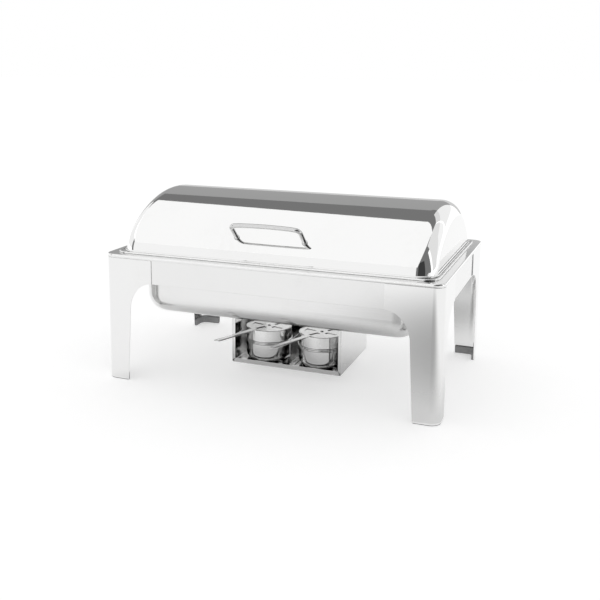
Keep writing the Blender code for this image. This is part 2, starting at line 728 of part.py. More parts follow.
def make_handle():
    """Bent rod handle, its two feet square to the lid, held by screws from inside."""
    root, out = handle_root()
    half, lift = HANDLE_SPAN / 2, HANDLE_REACH
    foot_lift = HANDLE_ROD * 0.06 + GAP
    route = [Vector((-half, 0, 0)) + out * foot_lift]
    steps = 5
    for step in range(steps + 1):
        angle = pi / 2 * step / steps
        route.append(Vector((-half + HANDLE_BEND * (1 - cos(angle)), 0, 0))
                     + out * (lift - HANDLE_BEND + HANDLE_BEND * sin(angle)))
    for step in range(1, 4):
        x = (-half + HANDLE_BEND) * (1 - step / 4)
        route.append(Vector((x, 0, 0)) + out * (lift + HANDLE_BOW * cos(pi / 2 * x / half)))
    route = [point + root for point in route]
    whole = route + [Vector((0, 0, 0)) + root + out * (lift + HANDLE_BOW)]
    whole += [Vector((-p.x, p.y, p.z)) for p in route[::-1]]
    handle = finish("lid_handle", rod("lid_handle", whole, HANDLE_ROD / 2), polished, 50)
    for side in (-1, 1):
        foot = Vector((side * half, root.y, root.z))
        cut(handle, cylinder("bore", HANDLE_SCREW / 2 + GAP, foot - out * CUT_REACH,
                             foot + out * (HANDLE_SCREW_DEPTH + GAP)))
    return handle


def place_on_axis(mesh, start, direction):
    """Stand a mesh that was made round Z on another axis."""
    turn = Vector(direction).to_track_quat("Z", "Y").to_matrix().to_4x4()
    mesh.transform(Matrix.Translation(Vector(start)) @ turn)
    return mesh


def make_handle_screws():
    """A washer and a pan-head screw inside the lid for each foot of the handle."""
    root, out = handle_root()
    for side, label in ((-1, "left"), (1, "right")):
        foot = Vector((side * HANDLE_SPAN / 2, root.y, root.z)) - out * (LID_SHEET + WASHER_GAP)
        shank, bore = HANDLE_SCREW / 2, HANDLE_SCREW / 2 + GAP
        washer = ((bore, 0), (WASHER_SIZE / 2, 0), (WASHER_SIZE / 2, -WASHER_SHEET), (bore, -WASHER_SHEET))
        name = "handle_washer_" + label
        finish(name, place_on_axis(turned(name, washer, SMALL_STEPS), foot, out), fixing)
        seat = -WASHER_SHEET - GAP
        reach = HANDLE_SCREW_DEPTH + LID_SHEET
        head = HANDLE_SCREW * 0.95
        screw = ((0, seat - head * 0.6), (head * 0.55, seat - head * 0.6), (head, seat - head * 0.25),
                 (head, seat), (shank, seat), (shank, reach), (0, reach))
        name = "handle_screw_" + label
        finish(name, place_on_axis(turned(name, screw, SMALL_STEPS, closed=False), foot, out), fixing)


# ---- hinges ----------------------------------------------------------------

frame_rivet_y = hinge_y - HINGE_KNUCKLE / 2 - RIVET_HEAD / 2 - GAP * 2
leaf_turn_z = hinge_z + HINGE_KNUCKLE / 2 - HINGE_SHEET
leaf_up = lid_base_z + LID_WALL - LID_BACK_SHOULDER - HINGE_LEAF_TOP - (leaf_turn_z + HINGE_SHEET / 2)
lid_rivet_z = leaf_turn_z + HINGE_SHEET + (leaf_up + RIVET_HEAD * 0.1) / 2
hinges = ((-1, "left"), (1, "right"))


def rivet_places():
    """X of every rivet; the lid leaf and the frame leaf of a hinge use the same two."""
    return [side * HINGE_SPACING / 2 + offset
            for side in (-1, 1) for offset in (-RIVET_SPACING / 2, RIVET_SPACING / 2)]


def lid_rivet_seat(x):
    """Where a lid rivet crosses the outside of the leaning wall, and the direction square to it."""
    wall_y = lid_half_y - lid_wall_slope * (lid_rivet_z - lid_base_z)
    return Vector((x, wall_y, lid_rivet_z)), Vector((0, 1, lid_wall_slope)).normalized()


def knuckle(name, low, high):
    """Outer cylinder of a hinge knuckle between two X positions."""
    return cylinder(name, HINGE_KNUCKLE / 2, (low, hinge_y, hinge_z), (high, hinge_y, hinge_z), 16)


def make_hinge(side, label):
    """A rear hinge: leaf on the frame, leaf on the lid and the pin through both."""
    middle = side * HINGE_SPACING / 2
    low, high = middle - HINGE_WIDTH / 2, middle + HINGE_WIDTH / 2
    inner_low, inner_high = middle - HINGE_MIDDLE / 2, middle + HINGE_MIDDLE / 2
    bore = (HINGE_PIN / 2 + GAP, (low - CUT_REACH, hinge_y, hinge_z), (high + CUT_REACH, hinge_y, hinge_z))
    leaf_bottom = ledge_z + GAP
    front = water_rim_half_y + GAP * 2
    notch = hinge_y - HINGE_KNUCKLE / 2 - GAP
    outline = ((low, hinge_y), (low, front), (high, front), (high, hinge_y),
               (inner_high + GAP, hinge_y), (inner_high + GAP, notch),
               (inner_low - GAP, notch), (inner_low - GAP, hinge_y))
    name = "hinge_frame_leaf_" + label
    leaf = finish(name, extruded(name, outline, leaf_bottom, leaf_bottom + HINGE_SHEET, along_z), fixing)
    join(leaf, knuckle("knuckle", low, inner_low - GAP))
    join(leaf, knuckle("knuckle", inner_high + GAP, high))
    cut(leaf, cylinder("bore", *bore))
    for x in (middle - RIVET_SPACING / 2, middle + RIVET_SPACING / 2):
        cut(leaf, cylinder("hole", RIVET_SHANK / 2 + GAP, (x, frame_rivet_y, leaf_bottom - CUT_REACH),
                           (x, frame_rivet_y, leaf_bottom + CUT_REACH)))

    wall_y = lid_half_y + GAP + HINGE_SHEET / 2
    turn_z = leaf_turn_z + HINGE_SHEET / 2
    start_y = wall_y - lid_wall_slope * (turn_z - lid_base_z)
    route = ((hinge_y, turn_z), (start_y, turn_z),
             (start_y - lid_wall_slope * leaf_up, turn_z + leaf_up))
    name = "hinge_lid_leaf_" + label
    sheet = bent_sheet(route, HINGE_SHEET, HINGE_SHEET)
    upright = finish(name, extruded(name, sheet, inner_low, inner_high, along_x), fixing)
    plate = bent_sheet(((start_y, turn_z + HINGE_SHEET * 0.5), route[2]), HINGE_SHEET * 0.98, 0)
    join(upright, extruded("plate", plate, low, high, along_x))
    join(upright, knuckle("knuckle", inner_low, inner_high))
    cut(upright, cylinder("bore", *bore))
    for x in (middle - RIVET_SPACING / 2, middle + RIVET_SPACING / 2):
        seat, out = lid_rivet_seat(x)
        cut(upright, cylinder("hole", RIVET_SHANK / 2 + GAP, seat - out * CUT_REACH,
                              seat + out * CUT_REACH))
    name = "hinge_pin_" + label
    finish(name, cylinder(name, HINGE_PIN / 2, (low, hinge_y, hinge_z), (high, hinge_y, hinge_z)), fixing)


def rivet(name, start, direction, grip):
    """A rivet with a low round head, a shank through the grip and a closed tail."""
    shank, head, tall = RIVET_SHANK / 2, RIVET_HEAD / 2, RIVET_HEAD_HEIGHT
    tail = grip + GAP * 2
    profile = ((0, tall), (head * 0.6, tall * 0.8), (head, 0), (shank, 0), (shank, -tail),
               (head * 0.8, -tail), (head * 0.8, -tail - tall * 0.6), (0, -tail - tall * 0.6))
    mesh = turned(name, profile, SMALL_STEPS, closed=False)
    return finish(name, place_on_axis(mesh, start, direction), fixing)


def make_rivets():
    """Two rivets through each leaf, into the frame ledge and into the lid wall."""
    for side, label in hinges:
        for offset, end in ((-RIVET_SPACING / 2, "outer" if side < 0 else "inner"),
                            (RIVET_SPACING / 2, "inner" if side < 0 else "outer")):
            x = side * HINGE_SPACING / 2 + offset
            head_z = ledge_z + GAP + HINGE_SHEET + GAP
            rivet(f"frame_rivet_{label}_{end}", (x, frame_rivet_y, head_z), (0, 0, 1),
                  HINGE_SHEET + FRAME_SHEET + GAP)
            seat, out = lid_rivet_seat(x)
            rivet(f"lid_rivet_{label}_{end}", seat + out * (HINGE_SHEET + GAP * 2), out,
                  HINGE_SHEET + LID_SHEET + GAP)


# ---- burner holder ---------------------------------------------------------

def stud_places():
    """The four studs that carry the holder, two along each top flange."""
    x = holder_half_x + HOLDER_FLANGE / 2
    front = HOLDER_FRONT + STUD_FRONT
    back = HOLDER_FRONT + HOLDER_DEPTH - STUD_FRONT
    return [(side * x, y) for side in (-1, 1) for y in (front, back)]


def make_holder():
    """Folded tray: floor, two side walls hung from top flanges, front lip and back stop."""
    half, sheet = holder_half_x, HOLDER_SHEET
    floor_top, top = holder_floor_z, holder_top_z
    back = HOLDER_FRONT + HOLDER_DEPTH
    wall, under = half - sheet / 2, floor_top - sheet / 2
    route = ((-half - HOLDER_FLANGE, top - sheet / 2), (-wall, top - sheet / 2), (-wall, under),
             (wall, under), (wall, top - sheet / 2), (half + HOLDER_FLANGE, top - sheet / 2))
    outline = bent_sheet(route, sheet, HOLDER_BEND)
    holder = finish("burner_holder", extruded("burner_holder", outline, HOLDER_FRONT, back, along_y),
                    satin)
    inner = half - sheet - HOLDER_BEND
    front_low, front_high = HOLDER_FRONT + GAP, HOLDER_FRONT + GAP + sheet
    join(holder, box("lip", (-inner, front_low, floor_top - sheet * 0.7),
                     (inner, front_high, floor_top - sheet + HOLDER_LIP)))
    join(holder, box("stop", (-inner, back - GAP - sheet, floor_top - sheet * 0.7),
                     (inner, back - GAP, floor_top + HOLDER_BACK_STOP)))
    for side in (-1, 1):
        outer_x, inner_x = side * (half - sheet * 0.4), side * (half - HOLDER_RETURN)
        join(holder, box("return", (min(outer_x, inner_x), front_low, floor_top + HOLDER_BEND * 2),
                         (max(outer_x, inner_x), front_high, top - HOLDER_BEND * 2)))
    for side in (-1, 1):
        lug_x = side * burner_x + burner_rim_radius * sin(LUG_ANGLE) + LUG_GAP
        lug_y = burner_y - burner_rim_radius * cos(LUG_ANGLE)
        join(holder, box("lug", (lug_x, lug_y, floor_top - sheet * 0.5),
                         (lug_x + LUG_WIDTH, lug_y + sheet, floor_top + LUG_HEIGHT)))
    for x, y in stud_places():
        cut(holder, cylinder("hole", STUD / 2 + GAP, (x, y, top - CUT_REACH),
                              (x, y, top + CUT_REACH)))
    return holder


def make_divider():
    """Folded plate that stands on the holder floor between the two burners."""
    foot_z = holder_floor_z + GAP + DIVIDER_SHEET / 2
    route = ((DIVIDER_FOOT, foot_z), (0, foot_z), (0, holder_floor_z + DIVIDER_HEIGHT))
    outline = bent_sheet(route, DIVIDER_SHEET, DIVIDER_SHEET)
    front = HOLDER_FRONT + DIVIDER_SETBACK
    back = HOLDER_FRONT + HOLDER_DEPTH - HOLDER_SHEET - GAP * 3
    return finish("holder_divider", extruded("holder_divider", outline, front, back, along_y), satin)


def make_nuts():
    """A hexagon nut on each stud, under the holder's flange."""
    labels = ("front_left", "back_left", "front_right", "back_right")
    seat = holder_top_z - HOLDER_SHEET - GAP
    for label, (x, y) in zip(labels, stud_places()):
        loops = []
        for radius_kind, z in (("hex", seat), ("hex", seat - NUT_HEIGHT),
                               ("bore", seat - NUT_HEIGHT), ("bore", seat)):
            loop = []
            for i in range(NUT_STEPS):
                angle = 2 * pi * i / NUT_STEPS
                radius = STUD / 2 + GAP
                if radius_kind == "hex":
                    radius = NUT_ACROSS / 2 / cos(angle % (pi / 3) - pi / 6)
                loop.append(Vector((x + radius * cos(angle), y + radius * sin(angle), z)))
            loops.append(loop)
        name = "holder_nut_" + label
        finish(name, loft(name, loops, ring=True), fixing)


# ---- burners ---------------------------------------------------------------

def windows(turn, low, high):
    """The sector-shaped openings of a cover or regulator, as one cutting mesh."""
    bm = bmesh.new()
    for count in range(WINDOW_COUNT):
        middle = turn + 2 * pi * count / WINDOW_COUNT
        outline = []
        for radius, way in ((WINDOW_INNER, 1), (window_outer, -1)):
            for step in range(5):
                angle = middle + way * WINDOW_ANGLE * (step / 4 - 0.5)
                outline.append((radius * cos(angle), radius * sin(angle)))
        rows = [[bm.verts.new((x, y, z)) for x, y in outline] for z in (low, high)]
        for i in range(len(outline)):
            j = (i + 1) % len(outline)
            bm.faces.new((rows[0][i], rows[0][j], rows[1][j], rows[1][i]))
        bm.faces.new(rows[0][::-1])
        bm.faces.new(rows[1])
    return mesh_from(bm, "windows")


def make_burner(side, label):
    """A fuel burner: cup, wick pad, cover, turning regulator with a flat handle, rivet."""
    radius, sheet = BURNER_DIAMETER / 2, BURNER_SHEET
    inner, rim = radius - sheet, burner_rim_radius
    cup_top, bead = BURNER_CUP_HEIGHT, BURNER_BEAD_HEIGHT
    place = Vector((side * burner_x, burner_y, burner_base_z))

    def stand(name, mesh, material):
        piece = finish(name, mesh, material)
        piece.location = place
        return piece

    cup = quarter_profile(radius, 0, BURNER_FLOOR_ROUND)
    cup += [(radius, cup_top - bead * 1.3), (rim, cup_top - bead), (rim, cup_top - bead * 0.2),
            (rim - bead * 0.2, cup_top), (inner, cup_top)]
    cup += quarter_profile(inner, sheet, BURNER_FLOOR_ROUND - sheet)[::-1]
    stand("burner_cup_" + label, turned("burner_cup", cup, closed=False), pressed)

    wick_radius = inner - GAP * 4
    wick_low = sheet + GAP
    wick = ((0, wick_low), (wick_radius - BURNER_FLOOR_ROUND, wick_low),
            (wick_radius, wick_low + BURNER_FLOOR_ROUND), (wick_radius, WICK_HEIGHT), (0, WICK_HEIGHT))
    stand("burner_wick_" + label, turned("burner_wick", wick, closed=False), fibre)

    low, top = cup_top + GAP, burner_height
    plate_top = top - COVER_LIP
    spigot = inner - GAP
    bore = RIVET_SHANK / 2 + GAP
    cover = ((spigot, cup_top - COVER_SPIGOT), (spigot, low), (rim, low), (rim, low + bead * 0.8),
             (radius, low + bead), (radius, top - sheet * 0.5), (radius - sheet * 0.5, top),
             (inner, top), (inner, plate_top), (bore, plate_top), (bore, plate_top - sheet),
             (spigot - sheet, plate_top - sheet), (spigot - sheet, cup_top - COVER_SPIGOT))
    piece = stand("burner_cover_" + label, turned("burner_cover", cover), pressed)
    piece.location = (0, 0, 0)
    cut(piece, windows(WINDOW_TURN, plate_top - sheet * 3, plate_top + sheet * 3))
    piece.location = place

    disc_low = plate_top + GAP
    disc_top = disc_low + REGULATOR_SHEET
    disc_radius = inner - REGULATOR_EDGE_GAP
    disc = ((bore, disc_low), (disc_radius, disc_low), (disc_radius, disc_top), (bore, disc_top))
    piece = stand("burner_regulator_" + label, turned("burner_regulator", disc), pressed)
    piece.location = (0, 0, 0)
    cut(piece, windows(WINDOW_TURN + pi / WINDOW_COUNT, disc_low - sheet * 3, disc_top + sheet * 3))
    join(piece, paddle(disc_top, top))
    piece.location = place

    head_low = disc_top + GAP
    head = RIVET_HEAD / 2 * 1.25
    tail = plate_top - sheet - GAP
    pivot = ((0, head_low + RIVET_HEAD_HEIGHT), (head * 0.7, head_low + RIVET_HEAD_HEIGHT * 0.8),
             (head, head_low), (RIVET_SHANK / 2, head_low), (RIVET_SHANK / 2, tail),
             (head * 0.8, tail), (head * 0.8, tail - RIVET_HEAD_HEIGHT), (0, tail - RIVET_HEAD_HEIGHT))
    stand("burner_rivet_" + label, turned("burner_rivet", pivot, SMALL_STEPS, closed=False), fixing)


def quarter_profile(radius, bottom, rounding, steps=4):
    """Profile from the axis along a floor and round its edge up to the wall."""
    points = [(0, bottom)]
    for step in range(steps + 1):
        angle = pi / 2 * step / steps
        points.append((radius - rounding + rounding * sin(angle), bottom + rounding * (1 - cos(angle))))
    return points


def paddle(disc_top, cover_top):
    """Flat handle of the regulator: steps over the cover's edge and rises a little to its tip."""
    sheet = REGULATOR_SHEET
    over = cover_top + GAP * 2 + sheet / 2
    on_disc = disc_top - sheet * 0.2
    edge = BURNER_DIAMETER / 2
    disc_end = window_outer + PADDLE_BEND + PADDLE_LAND
    route = ((window_outer + PADDLE_BEND, on_disc), (disc_end, on_disc), (edge - PADDLE_STEP, over),
             (edge + PADDLE_LEVEL, over), (PADDLE_LENGTH, over + PADDLE_RISE))
    outline = bent_sheet(route, sheet, PADDLE_BEND)
    strip = extruded("paddle", outline, -PADDLE_WIDTH / 2, PADDLE_WIDTH / 2, along_y)
    piece = bpy.data.objects.new("strip", strip)
    collection.objects.link(piece)
    hole_x = PADDLE_LENGTH - PADDLE_WIDTH
    cut(piece, cylinder("hole", PADDLE_HOLE / 2, (hole_x, 0, cover_top - CUT_REACH),
                        (hole_x, 0, cover_top + CUT_REACH)))
    mesh = piece.data
    bpy.data.objects.remove(piece, do_unlink=True)
    mesh.transform(Matrix.Rotation(-pi / 2 - PADDLE_ANGLE, 4, "Z"))
    return mesh


# ---- the whole object ------------------------------------------------------

corners = (("front_left", -1, -1), ("front_right", 1, -1), ("back_left", -1, 1), ("back_right", 1, 1))

make_frame()
for label, sign_x, sign_y in corners:
    make_leg("leg_" + label, sign_x, sign_y)
    make_foot("foot_" + label, sign_x, sign_y)
make_water_pan()
make_food_pan()
make_lid()
make_handle()
make_handle_screws()
for side, label in hinges:
    make_hinge(side, label)
make_rivets()
make_holder()
make_divider()
make_nuts()
for side, label in ((-1, "left"), (1, "right")):
    make_burner(side, label)
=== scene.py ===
import bpy
import bmesh
from math import atan2, cos, pi, radians, sin, sqrt
from mathutils import Matrix, Vector


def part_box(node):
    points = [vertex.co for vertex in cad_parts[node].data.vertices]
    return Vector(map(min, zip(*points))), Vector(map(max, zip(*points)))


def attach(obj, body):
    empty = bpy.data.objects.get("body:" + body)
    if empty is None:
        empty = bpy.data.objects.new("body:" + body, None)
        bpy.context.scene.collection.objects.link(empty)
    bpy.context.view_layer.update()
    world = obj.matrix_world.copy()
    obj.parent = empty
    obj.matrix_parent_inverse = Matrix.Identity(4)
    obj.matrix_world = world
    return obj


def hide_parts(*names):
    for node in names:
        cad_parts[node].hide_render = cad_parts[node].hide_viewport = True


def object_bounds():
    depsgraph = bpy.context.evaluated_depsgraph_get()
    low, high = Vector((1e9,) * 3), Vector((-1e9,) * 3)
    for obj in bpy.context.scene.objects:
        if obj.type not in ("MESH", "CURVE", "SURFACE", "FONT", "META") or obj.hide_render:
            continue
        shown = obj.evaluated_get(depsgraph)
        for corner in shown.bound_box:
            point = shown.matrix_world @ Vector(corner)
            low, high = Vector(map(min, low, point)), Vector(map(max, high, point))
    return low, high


# Chafing dish: hinged dome lid, food pan in a water pan, rolled frame on four legs, two fuel burners.
# Metres, Z up, X to the right along the front, Y to the back.

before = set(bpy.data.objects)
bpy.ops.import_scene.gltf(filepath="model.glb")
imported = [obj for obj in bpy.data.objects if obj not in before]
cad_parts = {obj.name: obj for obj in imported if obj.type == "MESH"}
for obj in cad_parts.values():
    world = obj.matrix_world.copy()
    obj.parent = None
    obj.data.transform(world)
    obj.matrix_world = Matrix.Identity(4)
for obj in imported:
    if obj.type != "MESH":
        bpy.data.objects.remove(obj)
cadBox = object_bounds()
air = 0.0003  # gap kept between touching pieces
print("frame loaded")


# node helpers

def addNode(tree, kind, place, inputs=(), **settings):
    node = tree.nodes.new("ShaderNode" + kind)
    node.location = place
    for key, value in settings.items():
        setattr(node, key, value)
    for key, value in dict(inputs).items():
        node.inputs[key].default_value = value
    return node


def wire(tree, *routes):
    for source, output, target, entry in routes:
        tree.links.new(source.outputs[output], target.inputs[entry])


def startGroup(name, inputs, outputs):
    tree = bpy.data.node_groups.new(name, "ShaderNodeTree")
    for label, kind, value in inputs:
        socket = tree.interface.new_socket(name=label, in_out="INPUT", socket_type="NodeSocket" + kind)
        socket.default_value = value
    for label, kind in outputs:
        tree.interface.new_socket(name=label, in_out="OUTPUT", socket_type="NodeSocket" + kind)
    given, result = tree.nodes.new("NodeGroupInput"), tree.nodes.new("NodeGroupOutput")
    given.location.x, result.location.x = -900, 700
    return tree, given, result


def makeRollGrain():
    # long faint lines left by the rollers, plus the soft waviness of thin sheet
    tree, given, result = startGroup(
        "rollGrain", [("Stretch", "Vector", (1, 1, 1)), ("Grain Scale", "Float", 600), ("Grain", "Float", 0.2),
                      ("Wave Scale", "Float", 6), ("Wave", "Float", 1)],
        [("Height", "Float"), ("Streak", "Float")])
    at = addNode(tree, "TexCoord", (-900, 300))
    squeeze = addNode(tree, "VectorMath", (-680, 240), operation="MULTIPLY")
    lines = addNode(tree, "TexNoise", (-460, 260), {"Detail": 3})
    swell = addNode(tree, "TexNoise", (-460, -80), {"Detail": 1})
    grainPart = addNode(tree, "Math", (-200, 200), operation="MULTIPLY")
    wavePart = addNode(tree, "Math", (-200, -40), operation="MULTIPLY")
    total = addNode(tree, "Math", (60, 80), operation="ADD")
    wire(tree, (at, "Object", squeeze, 0), (given, "Stretch", squeeze, 1), (squeeze, 0, lines, "Vector"),
         (given, "Grain Scale", lines, "Scale"), (at, "Object", swell, "Vector"),
         (given, "Wave Scale", swell, "Scale"), (lines, "Fac", grainPart, 0), (given, "Grain", grainPart, 1),
         (swell, "Fac", wavePart, 0), (given, "Wave", wavePart, 1), (grainPart, 0, total, 0),
         (wavePart, 0, total, 1), (total, 0, result, "Height"), (lines, "Fac", result, "Streak"))
    return tree


def makeHandMarks():
    # smears from handling and wiping: soft patches with finer breaks inside them
    tree, given, result = startGroup(
        "handMarks", [("Patch Scale", "Float", 9), ("Smear Scale", "Float", 60), ("Amount", "Float", 0.5)],
        [("Mask", "Float")])
    at = addNode(tree, "TexCoord", (-900, 300))
    patch = addNode(tree, "TexNoise", (-640, 260), {"Detail": 2})
    smear = addNode(tree, "TexNoise", (-640, -40), {"Detail": 5, "Distortion": 1.2})
    keep = addNode(tree, "MapRange", (-400, 260), {"From Min": 0.48, "From Max": 0.72})
    fine = addNode(tree, "MapRange", (-400, -40), {"From Min": 0.35, "From Max": 0.75})
    both = addNode(tree, "Math", (-160, 120), operation="MULTIPLY")
    scaled = addNode(tree, "Math", (60, 100), operation="MULTIPLY", use_clamp=True)
    wire(tree, (at, "Object", patch, "Vector"), (given, "Patch Scale", patch, "Scale"),
         (at, "Object", smear, "Vector"), (given, "Smear Scale", smear, "Scale"), (patch, "Fac", keep, "Value"),
         (smear, "Fac", fine, "Value"), (keep, "Result", both, 0), (fine, "Result", both, 1),
         (both, 0, scaled, 0), (given, "Amount", scaled, 1), (scaled, 0, result, "Mask"))
    return tree


def makeToneDrift():
    # blends two close colours by a mask
    tree, given, result = startGroup(
        "toneDrift", [("Clean", "Color", (0.8, 0.8, 0.8, 1)), ("Marked", "Color", (0.7, 0.7, 0.7, 1)),
                      ("Mask", "Float", 0)], [("Color", "Color")])
    blend = addNode(tree, "Mix", (0, 0), data_type="RGBA")
    wire(tree, (given, "Mask", blend, "Factor"), (given, "Clean", blend, 6), (given, "Marked", blend, 7),
         (blend, 2, result, "Color"))
    return tree


rollGrain = makeRollGrain()
handMarks = makeHandMarks()
toneDrift = makeToneDrift()

# stretch is small along the direction the lines run
steelFinishes = {
    "lidMirror": dict(clean=0.86, marked=0.80, smooth=0.035, rough=0.085, marks=0.5, patch=7, smear=45,
                      stretch=(0.05, 1, 1), grainScale=900, grain=0.05, waveScale=5, wave=0.5, bump=0.00012),
    "frameMirror": dict(clean=0.84, marked=0.78, smooth=0.05, rough=0.12, marks=0.5, patch=9, smear=60,
                        stretch=(1, 1, 0.05), grainScale=900, grain=0.06, waveScale=8, wave=0.5, bump=0.00010),
    "rimMirror": dict(clean=0.80, marked=0.72, smooth=0.12, rough=0.2, marks=0.5, patch=12, smear=80,
                      stretch=(0.05, 1, 1), grainScale=900, grain=0.05, waveScale=8, wave=0.3, bump=0.00006),
    "panSatin": dict(clean=0.80, marked=0.72, smooth=0.17, rough=0.26, marks=0.6, patch=8, smear=50,
                     stretch=(0.04, 1, 1), grainScale=1100, grain=0.3, waveScale=6, wave=0.4, bump=0.00012),
    "trayBright": dict(clean=0.78, marked=0.70, smooth=0.09, rough=0.17, marks=0.6, patch=14, smear=90,
                       stretch=(1, 0.06, 1), grainScale=900, grain=0.2, waveScale=12, wave=0.5, bump=0.00012),
    "burnerBright": dict(clean=0.78, marked=0.66, smooth=0.11, rough=0.2, marks=0.7, patch=30, smear=160,
                         stretch=(1, 1, 0.08), grainScale=1400, grain=0.3, waveScale=25, wave=0.3,
                         bump=0.00007),
    "fixingBright": dict(clean=0.70, marked=0.58, smooth=0.2, rough=0.34, marks=0.7, patch=60, smear=300,
                         stretch=(1, 1, 1), grainScale=1600, grain=0.4, waveScale=60, wave=0.2, bump=0.00005),
    "handleBright": dict(clean=0.62, marked=0.52, smooth=0.06, rough=0.13, marks=0.6, patch=40, smear=200,
                         stretch=(0.1, 1, 1), grainScale=1500, grain=0.2, waveScale=30, wave=0.2, bump=0.00004),
}
softFinishes = {
    "padRubber": dict(clean=(0.27, 0.27, 0.272), marked=(0.34, 0.335, 0.33), smooth=0.62, rough=0.85, marks=0.8,
                      patch=60, smear=400, stretch=(1, 1, 1), grainScale=900, grain=1.0, waveScale=75, wave=0.8,
                      bump=0.0003),
    "wickWadding": dict(clean=(0.80, 0.77, 0.70), marked=(0.52, 0.46, 0.36), smooth=0.9, rough=1.0, marks=0.7,
                        patch=50, smear=260, stretch=(1, 1, 1), grainScale=700, grain=1.0, waveScale=700 / 12,
                        wave=0.8, bump=0.0012),
}


def makeFinish(name, look):
    material = bpy.data.materials.new(name)
    material.use_nodes = True
    tree = material.node_tree
    shader = tree.nodes["Principled BSDF"]
    clean, marked = look["clean"], look["marked"]
    isSteel = name in steelFinishes
    if isSteel:  # a grey each, a little warmer where it is marked
        shader.inputs["Metallic"].default_value = 1.0
        clean, marked = (clean, clean, clean * 0.997), (marked, marked * 0.995, marked * 0.985)
    else:
        shader.inputs["Specular IOR Level"].default_value = 0.3
    grain = addNode(tree, "Group", (-700, -200), {
        "Stretch": look["stretch"], "Grain Scale": look["grainScale"], "Grain": look["grain"],
        "Wave Scale": look["waveScale"], "Wave": look["wave"]}, node_tree=rollGrain)
    marks = addNode(tree, "Group", (-700, 100), {
        "Patch Scale": look["patch"], "Smear Scale": look["smear"], "Amount": look["marks"]},
        node_tree=handMarks)
    tone = addNode(tree, "Group", (-400, 300), {"Clean": (*clean, 1), "Marked": (*marked, 1)},
                   node_tree=toneDrift)
    polish = addNode(tree, "MapRange", (-400, 40), {"To Min": look["smooth"], "To Max": look["rough"]})
    bump = addNode(tree, "Bump", (-400, -260), {"Distance": look["bump"]})
    wire(tree, (marks, "Mask", tone, "Mask"), (tone, "Color", shader, "Base Color"),
         (polish, "Result", shader, "Roughness"), (grain, "Height", bump, "Height"),
         (bump, "Normal", shader, "Normal"))
    if isSteel:
        streak = addNode(tree, "Math", (-560, 0), {1: look["grain"]}, operation="MULTIPLY_ADD")
        wire(tree, (grain, "Streak", streak, 0), (marks, "Mask", streak, 2), (streak, 0, polish, "Value"))
    else:
        wire(tree, (marks, "Mask", polish, "Value"))
    return material


finishes = {name: makeFinish(name, look) for name, look in {**steelFinishes, **softFinishes}.items()}
print("materials made")


# mesh helpers

def sweep(whole, steps, first=0):
    return [whole * step / steps for step in range(first, steps + 1)]


def circle(x, y, radius, steps=24):
    return [(x + radius * cos(angle), y + radius * sin(angle)) for angle in sweep(2 * pi, steps)[:-1]]


def addObject(name, data):
    item = bpy.data.objects.new(name, data)
    bpy.context.scene.collection.objects.link(item)
    return item


def meshFrom(bm, name):
    bmesh.ops.remove_doubles(bm, verts=bm.verts, dist=2e-6)
    bmesh.ops.recalc_face_normals(bm, faces=bm.faces)
    if bm.calc_volume(signed=True) < 0:
        bmesh.ops.reverse_faces(bm, faces=bm.faces)
    mesh = bpy.data.meshes.new(name)
    bm.to_mesh(mesh)
    bm.free()
    return mesh


def joinMeshes(name, meshes):
    bm = bmesh.new()
    for mesh in meshes:
        bm.from_mesh(mesh)
        bpy.data.meshes.remove(mesh)
    whole = bpy.data.meshes.new(name)
    bm.to_mesh(whole)
    bm.free()
    return whole


def setPiece(name, mesh, finish, body, nodes, bevel=0.0, sharp=38):
    mesh.shade_smooth()
    mesh.set_sharp_from_angle(angle=radians(sharp))
    mesh.materials.clear()
    mesh.materials.append(finishes[finish])
    piece = addObject(name, mesh)
    if bevel:
        edge = piece.modifiers.new("edgeRound", "BEVEL")
        edge.width = bevel
        edge.segments = 2
        edge.limit_method = "ANGLE"
        edge.angle_limit = radians(40)
    even = piece.modifiers.new("evenShading", "WEIGHTED_NORMAL")
    even.keep_sharp = True
    even.weight = 80
    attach(piece, body)
    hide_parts(*nodes)
    return piece

def setFixing(name, mesh, body, node):
    return setPiece(name, mesh, "fixingBright", body, [node])


def roundedLoop(halfX, halfY, radius, z, steps=12):
    loop = []
    for corner, (sx, sy) in enumerate(((1, 1), (-1, 1), (-1, -1), (1, -1))):
        centre = Vector((sx * (halfX - radius), sy * (halfY - radius), z))
        for step in range(steps + 1):
            angle = (corner + step / steps) * pi / 2
            loop.append(centre + Vector((radius * cos(angle), radius * sin(angle), 0)))
    return loop


def bridge(bm, low, high, closed=True):
    count = len(low)
    for i in range(count if closed else count - 1):
        j = (i + 1) % count
        corners = list(dict.fromkeys((low[i], low[j], high[j], high[i])))
        if len(corners) > 2:  # a row shrunk to one point gives triangles
            bm.faces.new(corners)


def loft(name, loops, ring=False):
    bm = bmesh.new()
    rows = [[bm.verts.new(point) for point in loop] for loop in loops]
    for low, high in zip(rows, rows[1:]):
        bridge(bm, low, high)
    if ring:
        bridge(bm, rows[-1], rows[0])
    else:
        bm.faces.new(rows[0][::-1])
        bm.faces.new(rows[-1])
    return meshFrom(bm, name)


def turned(name, profile, steps=72, closed=True):
    bm = bmesh.new()
    rows = []
    for radius, z in profile:
        if radius == 0:
            rows.append([bm.verts.new((0, 0, z))] * steps)
        else:
            rows.append([bm.verts.new((x, y, z)) for x, y in circle(0, 0, radius, steps)])
    for low, high in zip(rows, rows[1:] + rows[:1] * closed):
        bridge(bm, low, high)
    return meshFrom(bm, name)


def extruded(name, outline, low, high, axis):
    def point(u, v, depth):
        return Vector({"x": (depth, u, v), "y": (u, depth, v), "z": (u, v, depth)}[axis])
    return loft(name, [[point(u, v, depth) for u, v in outline] for depth in (low, high)])


